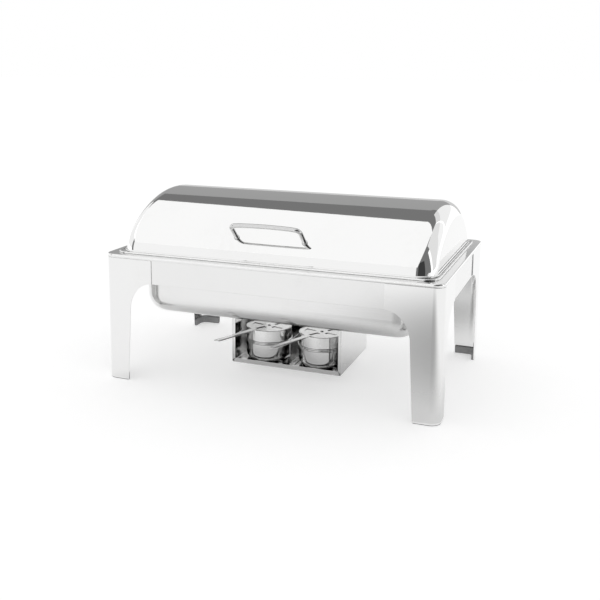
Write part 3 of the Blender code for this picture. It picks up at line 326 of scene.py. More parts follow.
def foldedSheet(points, sheet, bend, steps=7):
    route = [Vector(points[0])]
    for before, at, after in zip(points, points[1:], points[2:]):
        at = Vector(at)
        into = (at - Vector(before)).normalized()
        out = (Vector(after) - at).normalized()
        for step in range(steps + 1):
            t = step / steps
            start, end = at - into * bend, at + out * bend
            route.append(start * (1 - t) ** 2 + at * 2 * t * (1 - t) + end * t ** 2)
    route.append(Vector(points[-1]))
    left, right = [], []
    for i, point in enumerate(route):
        ahead = (route[min(i + 1, len(route) - 1)] - route[max(i - 1, 0)]).normalized()
        side = Vector((-ahead.y, ahead.x)) * sheet / 2
        left.append(point + side)
        right.append(point - side)
    return left + right[::-1]


def quarter(insetStart, zStart, insetEnd, zEnd, steps):
    return [(insetStart + (insetEnd - insetStart) * sin(angle), zEnd + (zStart - zEnd) * cos(angle))
            for angle in sweep(pi / 2, steps)]


def standOn(mesh, start, direction):
    turn = Vector(direction).to_track_quat("Z", "Y").to_matrix().to_4x4()
    mesh.transform(Matrix.Translation(Vector(start)) @ turn)
    return mesh


def roundBar(name, radius, start, end, steps=32, rounding=0.0003):
    start, end = Vector(start), Vector(end)
    length, flat = (end - start).length, radius - rounding
    turns = sweep(pi / 2, 4)
    profile = [(0, 0)] + [(flat + rounding * sin(angle), rounding - rounding * cos(angle)) for angle in turns]
    profile += [(flat + rounding * cos(angle), length - rounding + rounding * sin(angle)) for angle in turns]
    profile.append((0, length))
    return standOn(turned(name, profile, steps, closed=False), start, end - start)


def domedHead(radius, tall, base=0.0):
    return [(0, base + tall)] + [(radius * sin(angle), base + tall * (0.15 + 0.85 * cos(angle)))
                                 for angle in sweep(pi / 2, 7, 1)]


def flatPlate(name, outlines, low, high, rounding=0.0):
    # first outline is the edge, the others are holes
    curve = bpy.data.curves.new(name, "CURVE")
    curve.dimensions = "2D"
    curve.fill_mode = "BOTH"
    for outline in outlines:
        spline = curve.splines.new("POLY")
        spline.points.add(len(outline) - 1)
        for place, (x, y) in zip(spline.points, outline):
            place.co = (x, y, 0, 1)
        spline.use_cyclic_u = True
    curve.extrude = (high - low) / 2 - rounding
    curve.bevel_depth = rounding
    curve.bevel_resolution = 1
    curve.offset = -rounding
    holder = addObject(name, curve)
    bpy.context.view_layer.update()
    mesh = bpy.data.meshes.new_from_object(holder.evaluated_get(bpy.context.evaluated_depsgraph_get()))
    bpy.data.objects.remove(holder, do_unlink=True)
    bm = bmesh.new()
    bm.from_mesh(mesh)
    bpy.data.meshes.remove(mesh)
    bmesh.ops.translate(bm, verts=bm.verts, vec=(0, 0, (low + high) / 2))
    return meshFrom(bm, name)


# frame: rolled rim, ledge and skirt

# the roll's outer face is round over lowShare of its height and flatter, flatWidth deep, over highShare
rimSizes = dict(roll=0.0065, lowShare=0.30, highShare=0.45, flatWidth=0.34, proud=0.0008, ledge=0.0235,
                ledgeTurn=0.005, sheet=0.0012, nick=0.0002, cornerRadius=0.018, innerRadius=0.020)
legSizes = dict(sheet=0.0012, cornerRadius=0.018, spread=0.0075, gusset=0.052, sole=0.0009, edge=0.00028)

rimLow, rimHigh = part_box("frame_rim")
frameHalfX, frameHalfY, ledgeZ = rimHigh.x, rimHigh.y, rimHigh.z
legLow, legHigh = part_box("leg_front_left")
legTopZ = legHigh.z
skirtInset = rimSizes["proud"] + legSizes["sheet"] + air


def makeRim(size):
    under, top, low = legTopZ + air, ledgeZ, rimLow.z
    roll, sheet, ledge, nick = size["roll"], size["sheet"], size["ledge"], size["nick"]
    inner, turnZ = skirtInset + sheet, top - size["ledgeTurn"]
    section = [(skirtInset, low + nick), (skirtInset, under)]
    lower, upper = roll * size["lowShare"], roll * size["highShare"]
    section += [(skirtInset * (1 - sin(angle)) * 0.5, under + lower * (1 - cos(angle)) + nick / 10)
                for angle in sweep(pi / 2, 6)]
    section += [(roll * size["flatWidth"] * (1 - cos(angle)), top - upper * (1 - sin(angle)))
                for angle in sweep(pi / 2, 8)]
    section += [(ledge - sheet + sheet * sin(angle), top - sheet + sheet * cos(angle))
                for angle in sweep(pi / 2, 5)]
    section += [(ledge, turnZ + nick), (ledge - nick, turnZ), (ledge - sheet, turnZ),
                (ledge - sheet, top - sheet * 1.6), (ledge - sheet * 1.6, top - sheet),
                (inner + sheet, top - sheet), (inner, top - sheet * 2), (inner, low + nick),
                (inner - nick, low), (skirtInset + nick, low)]
    loops = []
    for inset, z in section:
        radius = size["cornerRadius"] + size["proud"] - inset
        if inset > ledge / 2:
            radius = size["innerRadius"]
        loops.append(roundedLoop(frameHalfX - inset, frameHalfY - inset, radius, z, 14))
    return setPiece("rolledRim", loft("rolledRim", loops, ring=True), "rimMirror", "root", ["frame_rim"],
                    sharp=42)


def cornerPath(front, side, inset, radius, steps=12):
    x0, y0 = -frameHalfX + inset, -frameHalfY + inset
    path = [Vector((-frameHalfX + rimSizes["proud"] + front, y0, 0))]
    for turn in sweep(pi / 2, steps):
        angle = -pi / 2 - turn
        path.append(Vector((x0 + radius + radius * cos(angle), y0 + radius + radius * sin(angle), 0)))
    path.append(Vector((x0, -frameHalfY + rimSizes["proud"] + side, 0)))
    return path


def legLoop(front, side, inset, sheet, z, signX, signY):
    outerRadius = legSizes["cornerRadius"] + rimSizes["proud"] - inset
    outer = cornerPath(front, side, inset, outerRadius)
    inner = cornerPath(front, side, inset + sheet, outerRadius - sheet)
    return [Vector((-signX * p.x, -signY * p.y, z)) for p in outer + inner[::-1]]


def makeLeg(corner, signX, signY, size):
    inset, edge = rimSizes["proud"], size["edge"]
    footLow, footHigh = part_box("foot_" + corner)
    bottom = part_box("leg_" + corner)[0].z
    frontFoot = footHigh.x - footLow.x + size["sheet"] + air
    sideFoot = footHigh.y - footLow.y + size["sheet"] + air
    frontLow, sideLow = frontFoot + size["spread"], sideFoot + size["spread"]
    frontTop, sideTop = legHigh.x - legLow.x, legHigh.y - legLow.y
    levels = [(frontFoot - edge, sideFoot - edge, bottom), (frontFoot, sideFoot, bottom + edge)]
    for angle in sweep(pi / 2, 16):  # the gusset widens in a quarter arc up to the skirt
        grow = 1 - cos(angle)
        levels.append((frontLow + (frontTop - frontLow) * grow, sideLow + (sideTop - sideLow) * grow,
                       rimLow.z - size["gusset"] + size["gusset"] * sin(angle)))
    levels.append((frontTop, sideTop, legTopZ))
    loops = [legLoop(front, side, inset, size["sheet"], z, signX, signY) for front, side, z in levels]
    return setPiece("leg." + corner, loft("leg", loops), "frameMirror", "root", ["leg_" + corner],
                    bevel=0.00025)


padSizes = dict(wall=0.004, height=0.014, edge=0.0004)


def makePad(corner, signX, signY, size):
    low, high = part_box("foot_" + corner)
    inside = rimSizes["proud"] + legSizes["sheet"] + air
    soleInset = rimSizes["proud"] + air
    front = high.x - low.x + air
    side = high.y - low.y + air
    soleWidth = inside - soleInset + size["wall"]
    sole, tall, edge = legSizes["sole"], size["height"], size["edge"]
    rows = [(soleInset, soleWidth, 0.0), (soleInset, soleWidth, sole), (inside, size["wall"], sole),
            (inside, size["wall"], tall - edge), (inside + edge * 0.5, size["wall"] - edge, tall)]
    loops = [legLoop(front, side, inset, width, z, signX, signY) for inset, width, z in rows]
    return setPiece("footPad." + corner, loft("footPad", loops), "padRubber", "root", ["foot_" + corner],
                    bevel=0.0002)


makeRim(rimSizes)
for corner, signX, signY in (("front_left", -1, -1), ("front_right", 1, -1), ("back_left", -1, 1),
                             ("back_right", 1, 1)):
    makeLeg(corner, signX, signY, legSizes)
    makePad(corner, signX, signY, padSizes)
print("frame, legs and feet made")


# pans

waterPanSizes = dict(sheet=0.001, depth=0.118, openX=0.2585, openY=0.156, corner=0.042, floorRound=0.038,
                     bead=0.0017, beadWidth=0.003, rimX=0.296, rimY=0.183, rimCorner=0.024, studRadius=0.002,
                     studX=0.1162, studFront=-0.060, studBack=0.070)
foodPanSizes = dict(sheet=0.0008, openX=0.2535, openY=0.151, flange=0.0115, corner=0.045, taper=0.010,
                    floorRound=0.016)


def startPan(size, steps):
    loops = []

    def addLoop(offset, z, inset=0.0):
        loops.append(roundedLoop(size["openX"] + offset - inset, size["openY"] + offset - inset,
                                 size["corner"] + offset - inset, z, steps))
    return loops, addLoop


def makeWaterPan(size):
    low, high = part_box("water_pan")
    sheet, top = size["sheet"], high.z - size["bead"]
    bottom, rounding, turn = top - size["depth"], size["floorRound"], sheet * 3
    loops, addLoop = startPan(size, 12)
    for inset, z in quarter(rounding, bottom, 0, bottom + rounding, 12):
        addLoop(sheet, z, inset)
    addLoop(sheet, top - sheet * 4)
    for angle in sweep(pi / 2, 5):
        addLoop(sheet + turn * (1 - cos(angle)), top - sheet * 4 + turn * sin(angle))
    bead, half = size["bead"], size["beadWidth"] / 2
    edge = [(0.0, -sheet)]
    edge += [(-half + half * cos(angle), bead * 0.15 + bead * 0.85 * sin(angle)) for angle in sweep(pi, 8)]
    edge.append((-size["beadWidth"], 0.0))
    for outset, rise in edge:
        loops.append(roundedLoop(size["rimX"] + outset, size["rimY"] + outset, size["rimCorner"] + outset,
                                 top + rise, 12))
    for angle in sweep(pi / 2, 4):
        addLoop(turn * (1 - sin(angle)), top - turn * (1 - cos(angle)))
    for inset, z in reversed(quarter(rounding, bottom + sheet, 0, bottom + rounding, 12)):
        addLoop(0, z, min(inset, rounding - sheet * 0.5))
    parts = [loft("waterPan", loops)]
    for x in (-size["studX"], size["studX"]):
        for y in (size["studFront"], size["studBack"]):
            parts.append(roundBar("stud", size["studRadius"], (x, y, low.z), (x, y, bottom + sheet / 2), 20))
    return setPiece("waterPan", joinMeshes("waterPan", parts), "panSatin", "root", ["water_pan"],
                    sharp=45)


def makeFoodPan(size):
    low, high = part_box("food_pan")
    sheet, top, floorZ, flange = size["sheet"], high.z, low.z, size["flange"]
    rounding, taper, turn = size["floorRound"], size["taper"], sheet * 3
    loops, addLoop = startPan(size, 14)
    for inset, z in quarter(taper + rounding, floorZ, taper, floorZ + rounding, 9):
        addLoop(0, z, inset)
    addLoop(0, top - sheet * 4)
    for angle in sweep(pi / 2, 4, 1):
        addLoop(turn * (1 - cos(angle)), top - sheet * 4 + turn * sin(angle))
    for outset, rise in ((flange - sheet * 0.3, -sheet), (flange, -sheet * 0.7), (flange, -sheet * 0.3),
                         (flange - sheet * 0.3, 0.0)):
        addLoop(outset, top + rise)
    for angle in sweep(pi / 2, 4):
        addLoop(turn * (1 - sin(angle)) - sheet, top - turn * (1 - cos(angle)))
    for inset, z in reversed(quarter(taper + rounding, floorZ + sheet, taper, floorZ + rounding, 9)):
        addLoop(-sheet, z, inset)
    return setPiece("foodPan", loft("foodPan", loops), "panSatin", "food_pan", ["food_pan"],
                    sharp=45)


makeWaterPan(waterPanSizes)
makeFoodPan(foodPanSizes)
print("pans made")


# lid

lidSizes = dict(sheet=0.001, wall=0.026, lean=0.0042, frontShoulder=0.0175, backShoulder=0.0105,
                archShoulder=0.036, endRound=0.032, bead=0.0025, beadHeight=0.0026)
lidLow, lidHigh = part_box("lid_shell")
lidHalfX, lidHalfY = lidHigh.x - lidSizes["bead"], lidHigh.y - lidSizes["bead"]
lidBaseZ, lidTopZ = lidLow.z, lidHigh.z
wallFoot = lidSizes["beadHeight"] * 1.3
wallSlope = lidSizes["lean"] / lidSizes["wall"]


def lidArch(size):
    span, rise = lidHalfY - size["lean"], lidTopZ - lidBaseZ - size["wall"]
    radius = (span ** 2 + rise ** 2) / (2 * rise)
    return radius, lidTopZ - radius


def lidCurve(inset, drop, size):
    # leaning wall, long shoulder and arch, moved inwards; distances count outwards from the middle
    radius, centreZ = lidArch(size)
    radius -= inset
    baseY = lidHalfY - inset / cos(atan2(size["lean"], size["wall"]))
    a = 1 + wallSlope ** 2
    b = baseY * wallSlope + (centreZ - lidBaseZ)
    c = baseY ** 2 + (centreZ - lidBaseZ) ** 2 - radius ** 2
    meet = (b + sqrt(b * b - a * c)) / a
    meetAngle = atan2(lidBaseZ + meet - centreZ, baseY - wallSlope * meet)
    share = inset / size["endRound"]
    startUp = meet - min(drop * (1 - 0.7 * share), 0.9 * (meet - wallFoot))
    start = Vector((baseY - wallSlope * startUp, lidBaseZ + startUp))
    angle = meetAngle + size["archShoulder"] * (1 - 0.34 * share) / radius
    end = Vector((radius * cos(angle), centreZ + radius * sin(angle)))
    back = baseY - wallSlope * (end.y - lidBaseZ) - end.x
    back /= sin(angle) - wallSlope * cos(angle)
    corner = Vector((end.x + back * sin(angle), end.y - back * cos(angle)))
    foot = Vector((baseY - wallSlope * wallFoot, lidBaseZ + wallFoot))
    return start, corner, end, foot, radius, angle


def lidProfile(inset, drop, size):
    start, corner, end, foot, radius, angle = lidCurve(inset, drop, size)
    centreZ = lidArch(size)[1]
    points = [tuple(foot)]
    for t in sweep(1, 18):
        points.append(tuple(start * (1 - t) ** 2 + corner * 2 * t * (1 - t) + end * t ** 2))
    for turn in sweep(pi / 2 - angle, 24, 1):
        points.append((radius * cos(angle + turn), centreZ + radius * sin(angle + turn)))
    return points


def lidSections(sheet, size, steps=12):
    sections = []
    rounding = size["endRound"] - sheet
    for side in (-1, 1):
        turns = range(steps + 1) if side < 0 else range(steps, -1, -1)
        for step in turns:
            angle = pi / 2 * (1 - step / steps)
            x = side * (lidHalfX - size["endRound"] + rounding * sin(angle))
            inset = sheet + rounding * (1 - cos(angle))
            whole = [(-y, z) for y, z in lidProfile(inset, size["frontShoulder"], size)]
            whole += lidProfile(inset, size["backShoulder"], size)[-2::-1]
            sections.append([Vector((x, y, z)) for y, z in whole])
    return sections


def moveOut(loop, outset, z, size):
    coreX, coreY = lidHalfX - size["endRound"], lidHalfY - size["endRound"]
    moved = []
    for point in loop:
        nearest = Vector((max(-coreX, min(coreX, point.x)), max(-coreY, min(coreY, point.y)), 0))
        away = Vector((point.x, point.y, 0)) - nearest
        moved.append(nearest + away.normalized() * (away.length + outset) + Vector((0, 0, z)))
    return moved


def makeLid(size):
    bm = bmesh.new()

    def add(rows):
        return [[bm.verts.new(point) for point in row] for row in rows]

    edges = []
    for inset in (0, size["sheet"]):
        rows = add(lidSections(inset, size))
        for low, high in zip(rows, rows[1:]):
            bridge(bm, low, high, closed=False)
        bm.faces.new(rows[0])
        bm.faces.new(rows[-1])
        edges.append([row[0] for row in rows] + [row[-1] for row in rows[::-1]])
    outerPoints, innerPoints = [[vert.co.copy() for vert in edge] for edge in edges]
    foot, bead, tall = wallSlope * wallFoot, size["bead"], size["beadHeight"]
    bend = [(foot + bead * 0.12, tall * 1.12), (foot + bead * 0.45, tall)]
    bend += [(foot + bead * 0.6 + bead * 0.4 * sin(angle), tall / 2 + tall / 2 * cos(angle))
             for angle in sweep(pi, 8)]
    rows = [moveOut(outerPoints, outset, lidBaseZ + rise, size) for outset, rise in bend]
    rows.append(moveOut(innerPoints, foot, lidBaseZ, size))
    chain = [edges[0]] + add(rows) + [edges[1]]
    for low, high in zip(chain, chain[1:]):
        bridge(bm, low, high)
    return setPiece("domeLid", meshFrom(bm, "domeLid"), "lidMirror", "lid", ["lid_shell"],
                    sharp=50)


handleSizes = dict(span=0.126, rod=0.0078, reach=0.0375, bow=0.003, bend=0.010, setback=0.0182,
                   bossRadius=0.0052, bossHeight=0.0014, washer=0.011, washerSheet=0.001, washerGap=0.0007,
                   screw=0.004, screwLength=0.008)


def handleRoot(size):
    start, corner, end = lidCurve(0, lidSizes["frontShoulder"], lidSizes)[:3]
    seat = lidHalfY - size["setback"]
    a, b = start.x - 2 * corner.x + end.x, 2 * (corner.x - start.x)
    t = (-b - sqrt(b * b - 4 * a * (start.x - seat))) / (2 * a)
    at = start * (1 - t) ** 2 + corner * 2 * t * (1 - t) + end * t ** 2
    along = (corner - start) * (1 - t) + (end - corner) * t
    return Vector((0, -at.x, at.y)), Vector((0, -along.y, -along.x)).normalized()


def tube(name, points, radius, sides=24):
    rows = []
    side = Vector((0, 0, 1)).cross(points[1] - points[0]).normalized()
    for i, point in enumerate(points):
        ahead = (points[min(i + 1, len(points) - 1)] - points[max(i - 1, 0)]).normalized()
        side = (side - ahead * side.dot(ahead)).normalized()
        up = ahead.cross(side)
        rows.append([point + (side * cos(turn) + up * sin(turn)) * radius
                     for turn in sweep(2 * pi, sides)[:-1]])
    return loft(name, rows)


def makeHandle(size):
    root, out = handleRoot(size)
    half, lift, bend = size["span"] / 2, size["reach"], size["bend"]
    route = [Vector((-half, 0, 0)) + out * (air + 0.0005)]
    for angle in sweep(pi / 2, 12):
        route.append(Vector((-half + bend * (1 - cos(angle)), 0, 0)) + out * (lift - bend + bend * sin(angle)))
    for step in range(1, 9):
        x = (-half + bend) * (1 - step / 9)
        route.append(Vector((x, 0, 0)) + out * (lift + size["bow"] * cos(pi / 2 * x / half)))
    route = [point + root for point in route]
    whole = route + [root + out * (lift + size["bow"])] + [Vector((-p.x, p.y, p.z)) for p in route[::-1]]
    parts = [tube("bail", whole, size["rod"] / 2)]
    radius, tall = size["bossRadius"], size["bossHeight"]
    boss = [(0, 0), (radius, 0), (radius, tall * 0.5)]
    boss += [(radius - tall * 0.9 * (1 - cos(angle)), tall * 0.5 + tall * 0.5 * sin(angle))
             for angle in sweep(pi / 2, 4, 1)]
    boss.append((0, tall))
    shank, edge, sheet, nick = size["screw"] / 2, size["washer"] / 2, size["washerSheet"], 0.0002
    washer = [(shank + air, 0), (edge - nick, 0), (edge, -nick), (edge, -sheet + nick), (edge - nick, -sheet),
              (shank + air, -sheet)]
    head, seat = size["screw"] * 0.95, -sheet - air
    screw = [(0, seat - head * 0.62)]
    screw += [(head * sin(angle), seat - head * (0.12 + 0.5 * cos(angle))) for angle in sweep(pi / 2, 6, 1)]
    screw += [(head, seat), (shank, seat), (shank, size["screwLength"]), (0, size["screwLength"])]
    for side in (-1, 1):
        foot = root + Vector((side * half, 0, 0)) + out * (air + 0.0002)
        parts.append(standOn(turned("boss", boss, 32, closed=False), foot, out))
    setPiece("bailHandle", joinMeshes("bailHandle", parts), "handleBright", "lid", ["lid_handle"],
             sharp=45)
    for side, label in ((-1, "left"), (1, "right")):
        foot = root + Vector((side * half, 0, 0)) - out * (lidSizes["sheet"] + size["washerGap"])
        setFixing("handleWasher." + label, standOn(turned("washer", washer, 36), foot, out), "lid",
                  "handle_washer_" + label)
        setFixing("handleScrew." + label, standOn(turned("screw", screw, 32, closed=False), foot, out), "lid",
                  "handle_screw_" + label)


makeLid(lidSizes)
makeHandle(handleSizes)
print("lid and handle made")


# hinges at the back

hingeSizes = dict(sheet=0.0015, knuckle=0.0072, pin=0.0036, middle=0.022, rivetShank=0.003, rivetHead=0.005,
                  rivetHeight=0.0012, rivetSpacing=0.036, leafTop=0.00035)


def makeRivet(name, start, direction, grip, size, body, node):
    shank, head, tall = size["rivetShank"] / 2, size["rivetHead"] / 2, size["rivetHeight"]
    tail = -(grip + air * 2)
    profile = domedHead(head, tall)
    profile += [(head, 0), (shank, 0), (shank, tail), (head * 0.8, tail), (head * 0.8, tail - tall * 0.4),
                (head * 0.65, tail - tall * 0.6), (0, tail - tall * 0.6)]
    return setFixing(name, standOn(turned("rivet", profile, 28, closed=False), start, direction), body, node)


def makeHinge(side, label, size):
    frameLeafLow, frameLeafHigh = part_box("hinge_frame_leaf_" + label)
    pinLow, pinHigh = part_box("hinge_pin_" + label)
    hingeY, hingeZ = (pinLow.y + pinHigh.y) / 2, (pinLow.z + pinHigh.z) / 2
    low, high = frameLeafLow.x, frameLeafHigh.x
    middle = (low + high) / 2
    innerLow, innerHigh = middle - size["middle"] / 2, middle + size["middle"] / 2
    sheet, radius, bottom = size["sheet"], size["knuckle"] / 2, frameLeafLow.z
    notch = hingeY - radius - air
    outline = ((low, hingeY), (low, frameLeafLow.y), (high, frameLeafLow.y), (high, hingeY),
               (innerHigh + air, hingeY), (innerHigh + air, notch), (innerLow - air, notch),
               (innerLow - air, hingeY))
    parts = [extruded("leaf", outline, bottom, bottom + sheet, "z")]
    for start, end in ((low, innerLow - air), (innerHigh + air, high)):
        parts.append(roundBar("knuckle", radius, (start, hingeY, hingeZ), (end, hingeY, hingeZ)))
    setFixing("frameLeaf." + label, joinMeshes("frameLeaf", parts), "root", "hinge_frame_leaf_" + label)
    turnZ = hingeZ + radius - sheet / 2
    startY = lidHalfY + air + sheet / 2 - wallSlope * (turnZ - lidBaseZ)
    leafUp = lidBaseZ + lidSizes["wall"] - lidSizes["backShoulder"] - size["leafTop"] - turnZ
    top = (startY - wallSlope * leafUp, turnZ + leafUp)
    parts = [extruded("leaf", foldedSheet(((hingeY, turnZ), (startY, turnZ), top), sheet, sheet), innerLow,
                      innerHigh, "x"),
             extruded("plate", foldedSheet(((startY, turnZ + sheet * 0.5), top), sheet * 0.98, 0), low, high,
                      "x"),
             roundBar("knuckle", radius, (innerLow, hingeY, hingeZ), (innerHigh, hingeY, hingeZ))]
    setFixing("lidLeaf." + label, joinMeshes("lidLeaf", parts), "lid", "hinge_lid_leaf_" + label)
    pin = roundBar("hingePin", size["pin"] / 2, (low, hingeY, hingeZ), (high, hingeY, hingeZ))
    setFixing("hingePin." + label, pin, "root", "hinge_pin_" + label)
    for offset, end in ((-1, "outer" if side < 0 else "inner"), (1, "inner" if side < 0 else "outer")):
        x = middle + offset * size["rivetSpacing"] / 2
        frameRivetY = hingeY - radius - size["rivetHead"] / 2 - air * 2
        makeRivet(f"frameRivet.{label}.{end}", (x, frameRivetY, bottom + sheet + air), (0, 0, 1),
                  sheet + rimSizes["sheet"] + air, size, "root", f"frame_rivet_{label}_{end}")
        rivetZ = hingeZ + radius + (leafUp + size["rivetHead"] * 0.1) / 2
        out = Vector((0, 1, wallSlope)).normalized()
        seat = Vector((x, lidHalfY - wallSlope * (rivetZ - lidBaseZ), rivetZ)) + out * (sheet + air * 2)
        makeRivet(f"lidRivet.{label}.{end}", seat, out, sheet + lidSizes["sheet"] + air, size, "lid",
                  f"lid_rivet_{label}_{end}")


for side, label in ((-1, "left"), (1, "right")):
    makeHinge(side, label, hingeSizes)
print("hinges made")


# burner holder

holderSizes = dict(sheet=0.0012, flange=0.017, returnWidth=0.006, lip=0.008, backStop=0.055, bend=0.002,
                   dividerSheet=0.001, lugWidth=0.007, lugHeight=0.006, lugFoot=0.006, lugGap=0.0006,
                   nutAcross=0.007, nutChamfer=0.0004, studRadius=0.002)


def makeHolder(size):
    low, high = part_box("burner_holder")
    sheet, bend, flange = size["sheet"], size["bend"], size["flange"]
    half = high.x - flange
    floorTop, top, front, back = low.z + sheet, high.z, low.y, high.y
    wall, under, over, foldZ = half - sheet / 2, floorTop - sheet / 2, top - sheet / 2, floorTop - sheet * 0.5
    route = ((-half - flange, over), (-wall, over), (-wall, under), (wall, under), (wall, over),
             (half + flange, over))
    parts = [extruded("tray", foldedSheet(route, sheet, bend), front, back, "y")]
    inner = half - sheet - bend
    lipY, stopY = front + air + sheet / 2, back - air - sheet / 2
    for y, inward, rise in ((lipY, lipY + bend * 3, size["lip"] - sheet),
                            (stopY, stopY - bend * 3, size["backStop"])):
        fold = foldedSheet(((inward, foldZ), (y, foldZ), (y, floorTop + rise)), sheet * 0.98, bend)
        parts.append(extruded("fold", fold, -inner, inner, "x"))
    for side in (-1, 1):
        fold = foldedSheet(((side * wall, lipY + bend * 2.5), (side * wall, lipY),
                            (side * (half - size["returnWidth"]), lipY)), sheet * 0.98, bend * 0.7)
        parts.append(extruded("return", fold, floorTop + bend * 2, top - bend * 2, "z"))
    for label in ("left", "right"):  # a small lug in front of each cup
        cupLow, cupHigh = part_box("burner_cup_" + label)
        centre, radius, lugZ = (cupLow + cupHigh) / 2, (cupHigh.x - cupLow.x) / 2, floorTop - sheet * 0.4
        lugX, lugY = centre.x + radius * sin(pi / 4) + size["lugGap"], centre.y - radius * cos(pi / 4)
        fold = foldedSheet(((lugY + size["lugFoot"], lugZ), (lugY, lugZ), (lugY, floorTop + size["lugHeight"])),
                           sheet * 0.8, bend / 2)
        parts.append(extruded("lug", fold, lugX, lugX + size["lugWidth"], "x"))
    setPiece("burnerTray", joinMeshes("burnerTray", parts), "trayBright", "root", ["burner_holder"],
             bevel=0.0002)
    dividerLow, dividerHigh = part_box("holder_divider")
    footZ, sheet = dividerLow.z + size["dividerSheet"] / 2, size["dividerSheet"]
    fold = foldedSheet(((dividerHigh.x, footZ), (0, footZ), (0, dividerHigh.z)), sheet, sheet)
    setPiece("trayDivider", extruded("divider", fold, dividerLow.y, dividerHigh.y, "y"), "trayBright", "root",
             ["holder_divider"], bevel=0.0002)


def makeNut(place, size):
    node = "holder_nut_" + place
    low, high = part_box(node)
    centre = (low + high) / 2
    radius, bore, chamfer = size["nutAcross"] / 2, size["studRadius"] + air, size["nutChamfer"]
    rows = [(1, high.z - chamfer, 0), (1, low.z + chamfer, 0), (1, low.z, chamfer), (0, low.z, 0),
            (0, high.z, 0), (1, high.z, chamfer)]
    loops = []
    for isHex, z, inset in rows:
        loop = []
        for angle in sweep(2 * pi, 36)[:-1]:
            across = radius / cos(angle % (pi / 3) - pi / 6)
            reach = min(across, radius * 1.155 - inset) if isHex else bore
            loop.append(Vector((centre.x + reach * cos(angle), centre.y + reach * sin(angle), z)))
        loops.append(loop)
    setPiece("trayNut." + place, loft("nut", loops, ring=True), "fixingBright", "root", [node],
             sharp=25)


makeHolder(holderSizes)
for place in ("front_left", "front_right", "back_left", "back_right"):
    makeNut(place, holderSizes)
print("burner holder made")


# burners

burnerSizes = dict(bead=0.002, beadHeight=0.0027, sheet=0.0008, floorRound=0.012, coverHeight=0.0242,
                   lip=0.0014, spigot=0.004, windows=5, windowAngle=radians(34), windowTurn=radians(4),
                   windowInner=0.012, windowMargin=0.0105, discSheet=0.0008, discGap=0.002, paddleWidth=0.013,
                   paddleLength=0.146, paddleAngle=radians(20), paddleRise=0.002, paddleEdge=0.0009,
                   paddleHole=0.0018, paddleHoleAt=0.090, tipHole=0.003, tipHoleBack=0.0085, rivetShank=0.003,
                   rivetHead=0.00625, rivetHeight=0.0012)


def sectorHoles(turn, size, outer):
    holes = []
    for middle in sweep(2 * pi, size["windows"])[:-1]:
        holes.append([(radius * cos(turn + middle + way * angle), radius * sin(turn + middle + way * angle))
                      for radius, way in ((size["windowInner"], 1), (outer, -1))
                      for angle in [size["windowAngle"] * (step / 8 - 0.5) for step in range(9)]])
    return holes


def cutAcross(bm, places, axis):
    for place in places:
        bmesh.ops.bisect_plane(bm, geom=bm.verts[:] + bm.edges[:] + bm.faces[:], plane_co=axis * place,
                               plane_no=axis)


def makePaddle(size, radius, outer, discTop, coverTop):
    half, sheet = size["paddleWidth"] / 2, size["discSheet"]
    start, end = outer + 0.0012, size["paddleLength"]
    tipRound = half * 0.98
    outline = [(start, -half * 0.9), (end - tipRound, -half)]
    outline += [(end - tipRound + tipRound * cos(turn - pi / 2), half * sin(turn - pi / 2))
                for turn in sweep(pi, 16, 1)[:-1]]
    outline += [(end - tipRound, half), (start, half * 0.9)]
    mesh = flatPlate("paddle", [outline, circle(size["paddleHoleAt"], 0, size["paddleHole"]),
                                circle(end - size["tipHoleBack"], 0, size["tipHole"])], 0, sheet, 0.00015)
    bm = bmesh.new()
    bm.from_mesh(mesh)
    discEnd, rampEnd, free, near = outer + 0.006, radius - 0.0025, radius + 0.004, 0.0006
    over, onDisc = coverTop + air * 2, discTop - sheet * 0.7
    along = Vector((1, 0, 0))
    cutAcross(bm, [place + step for place in (discEnd, rampEnd) for step in (-near, 0, near)], along)
    cutAcross(bm, [free + (end - free) * i / 8 for i in range(8)], along)
    cutAcross(bm, (-half * 0.75, half * 0.75), Vector((0, 1, 0)))
    for vert in bm.verts:  # steps up over the cover's edge, then rises to a tip with bent edges
        x = vert.co.x
        t = min(1, max(0, (x - discEnd) / (rampEnd - discEnd)))
        rise = onDisc + (over - onDisc) * (3 * t * t - 2 * t ** 3)
        if x > free:
            share = (x - free) / (end - free)
            edge = max(0, abs(vert.co.y) - half * 0.7) / (half * 0.3)
            rise += size["paddleRise"] * share - size["paddleEdge"] * edge ** 2 * min(1, share * 6)
        vert.co.z += rise
    bm.to_mesh(mesh)
    bm.free()
    mesh.transform(Matrix.Rotation(-pi / 2 - size["paddleAngle"], 4, "Z"))
    return mesh


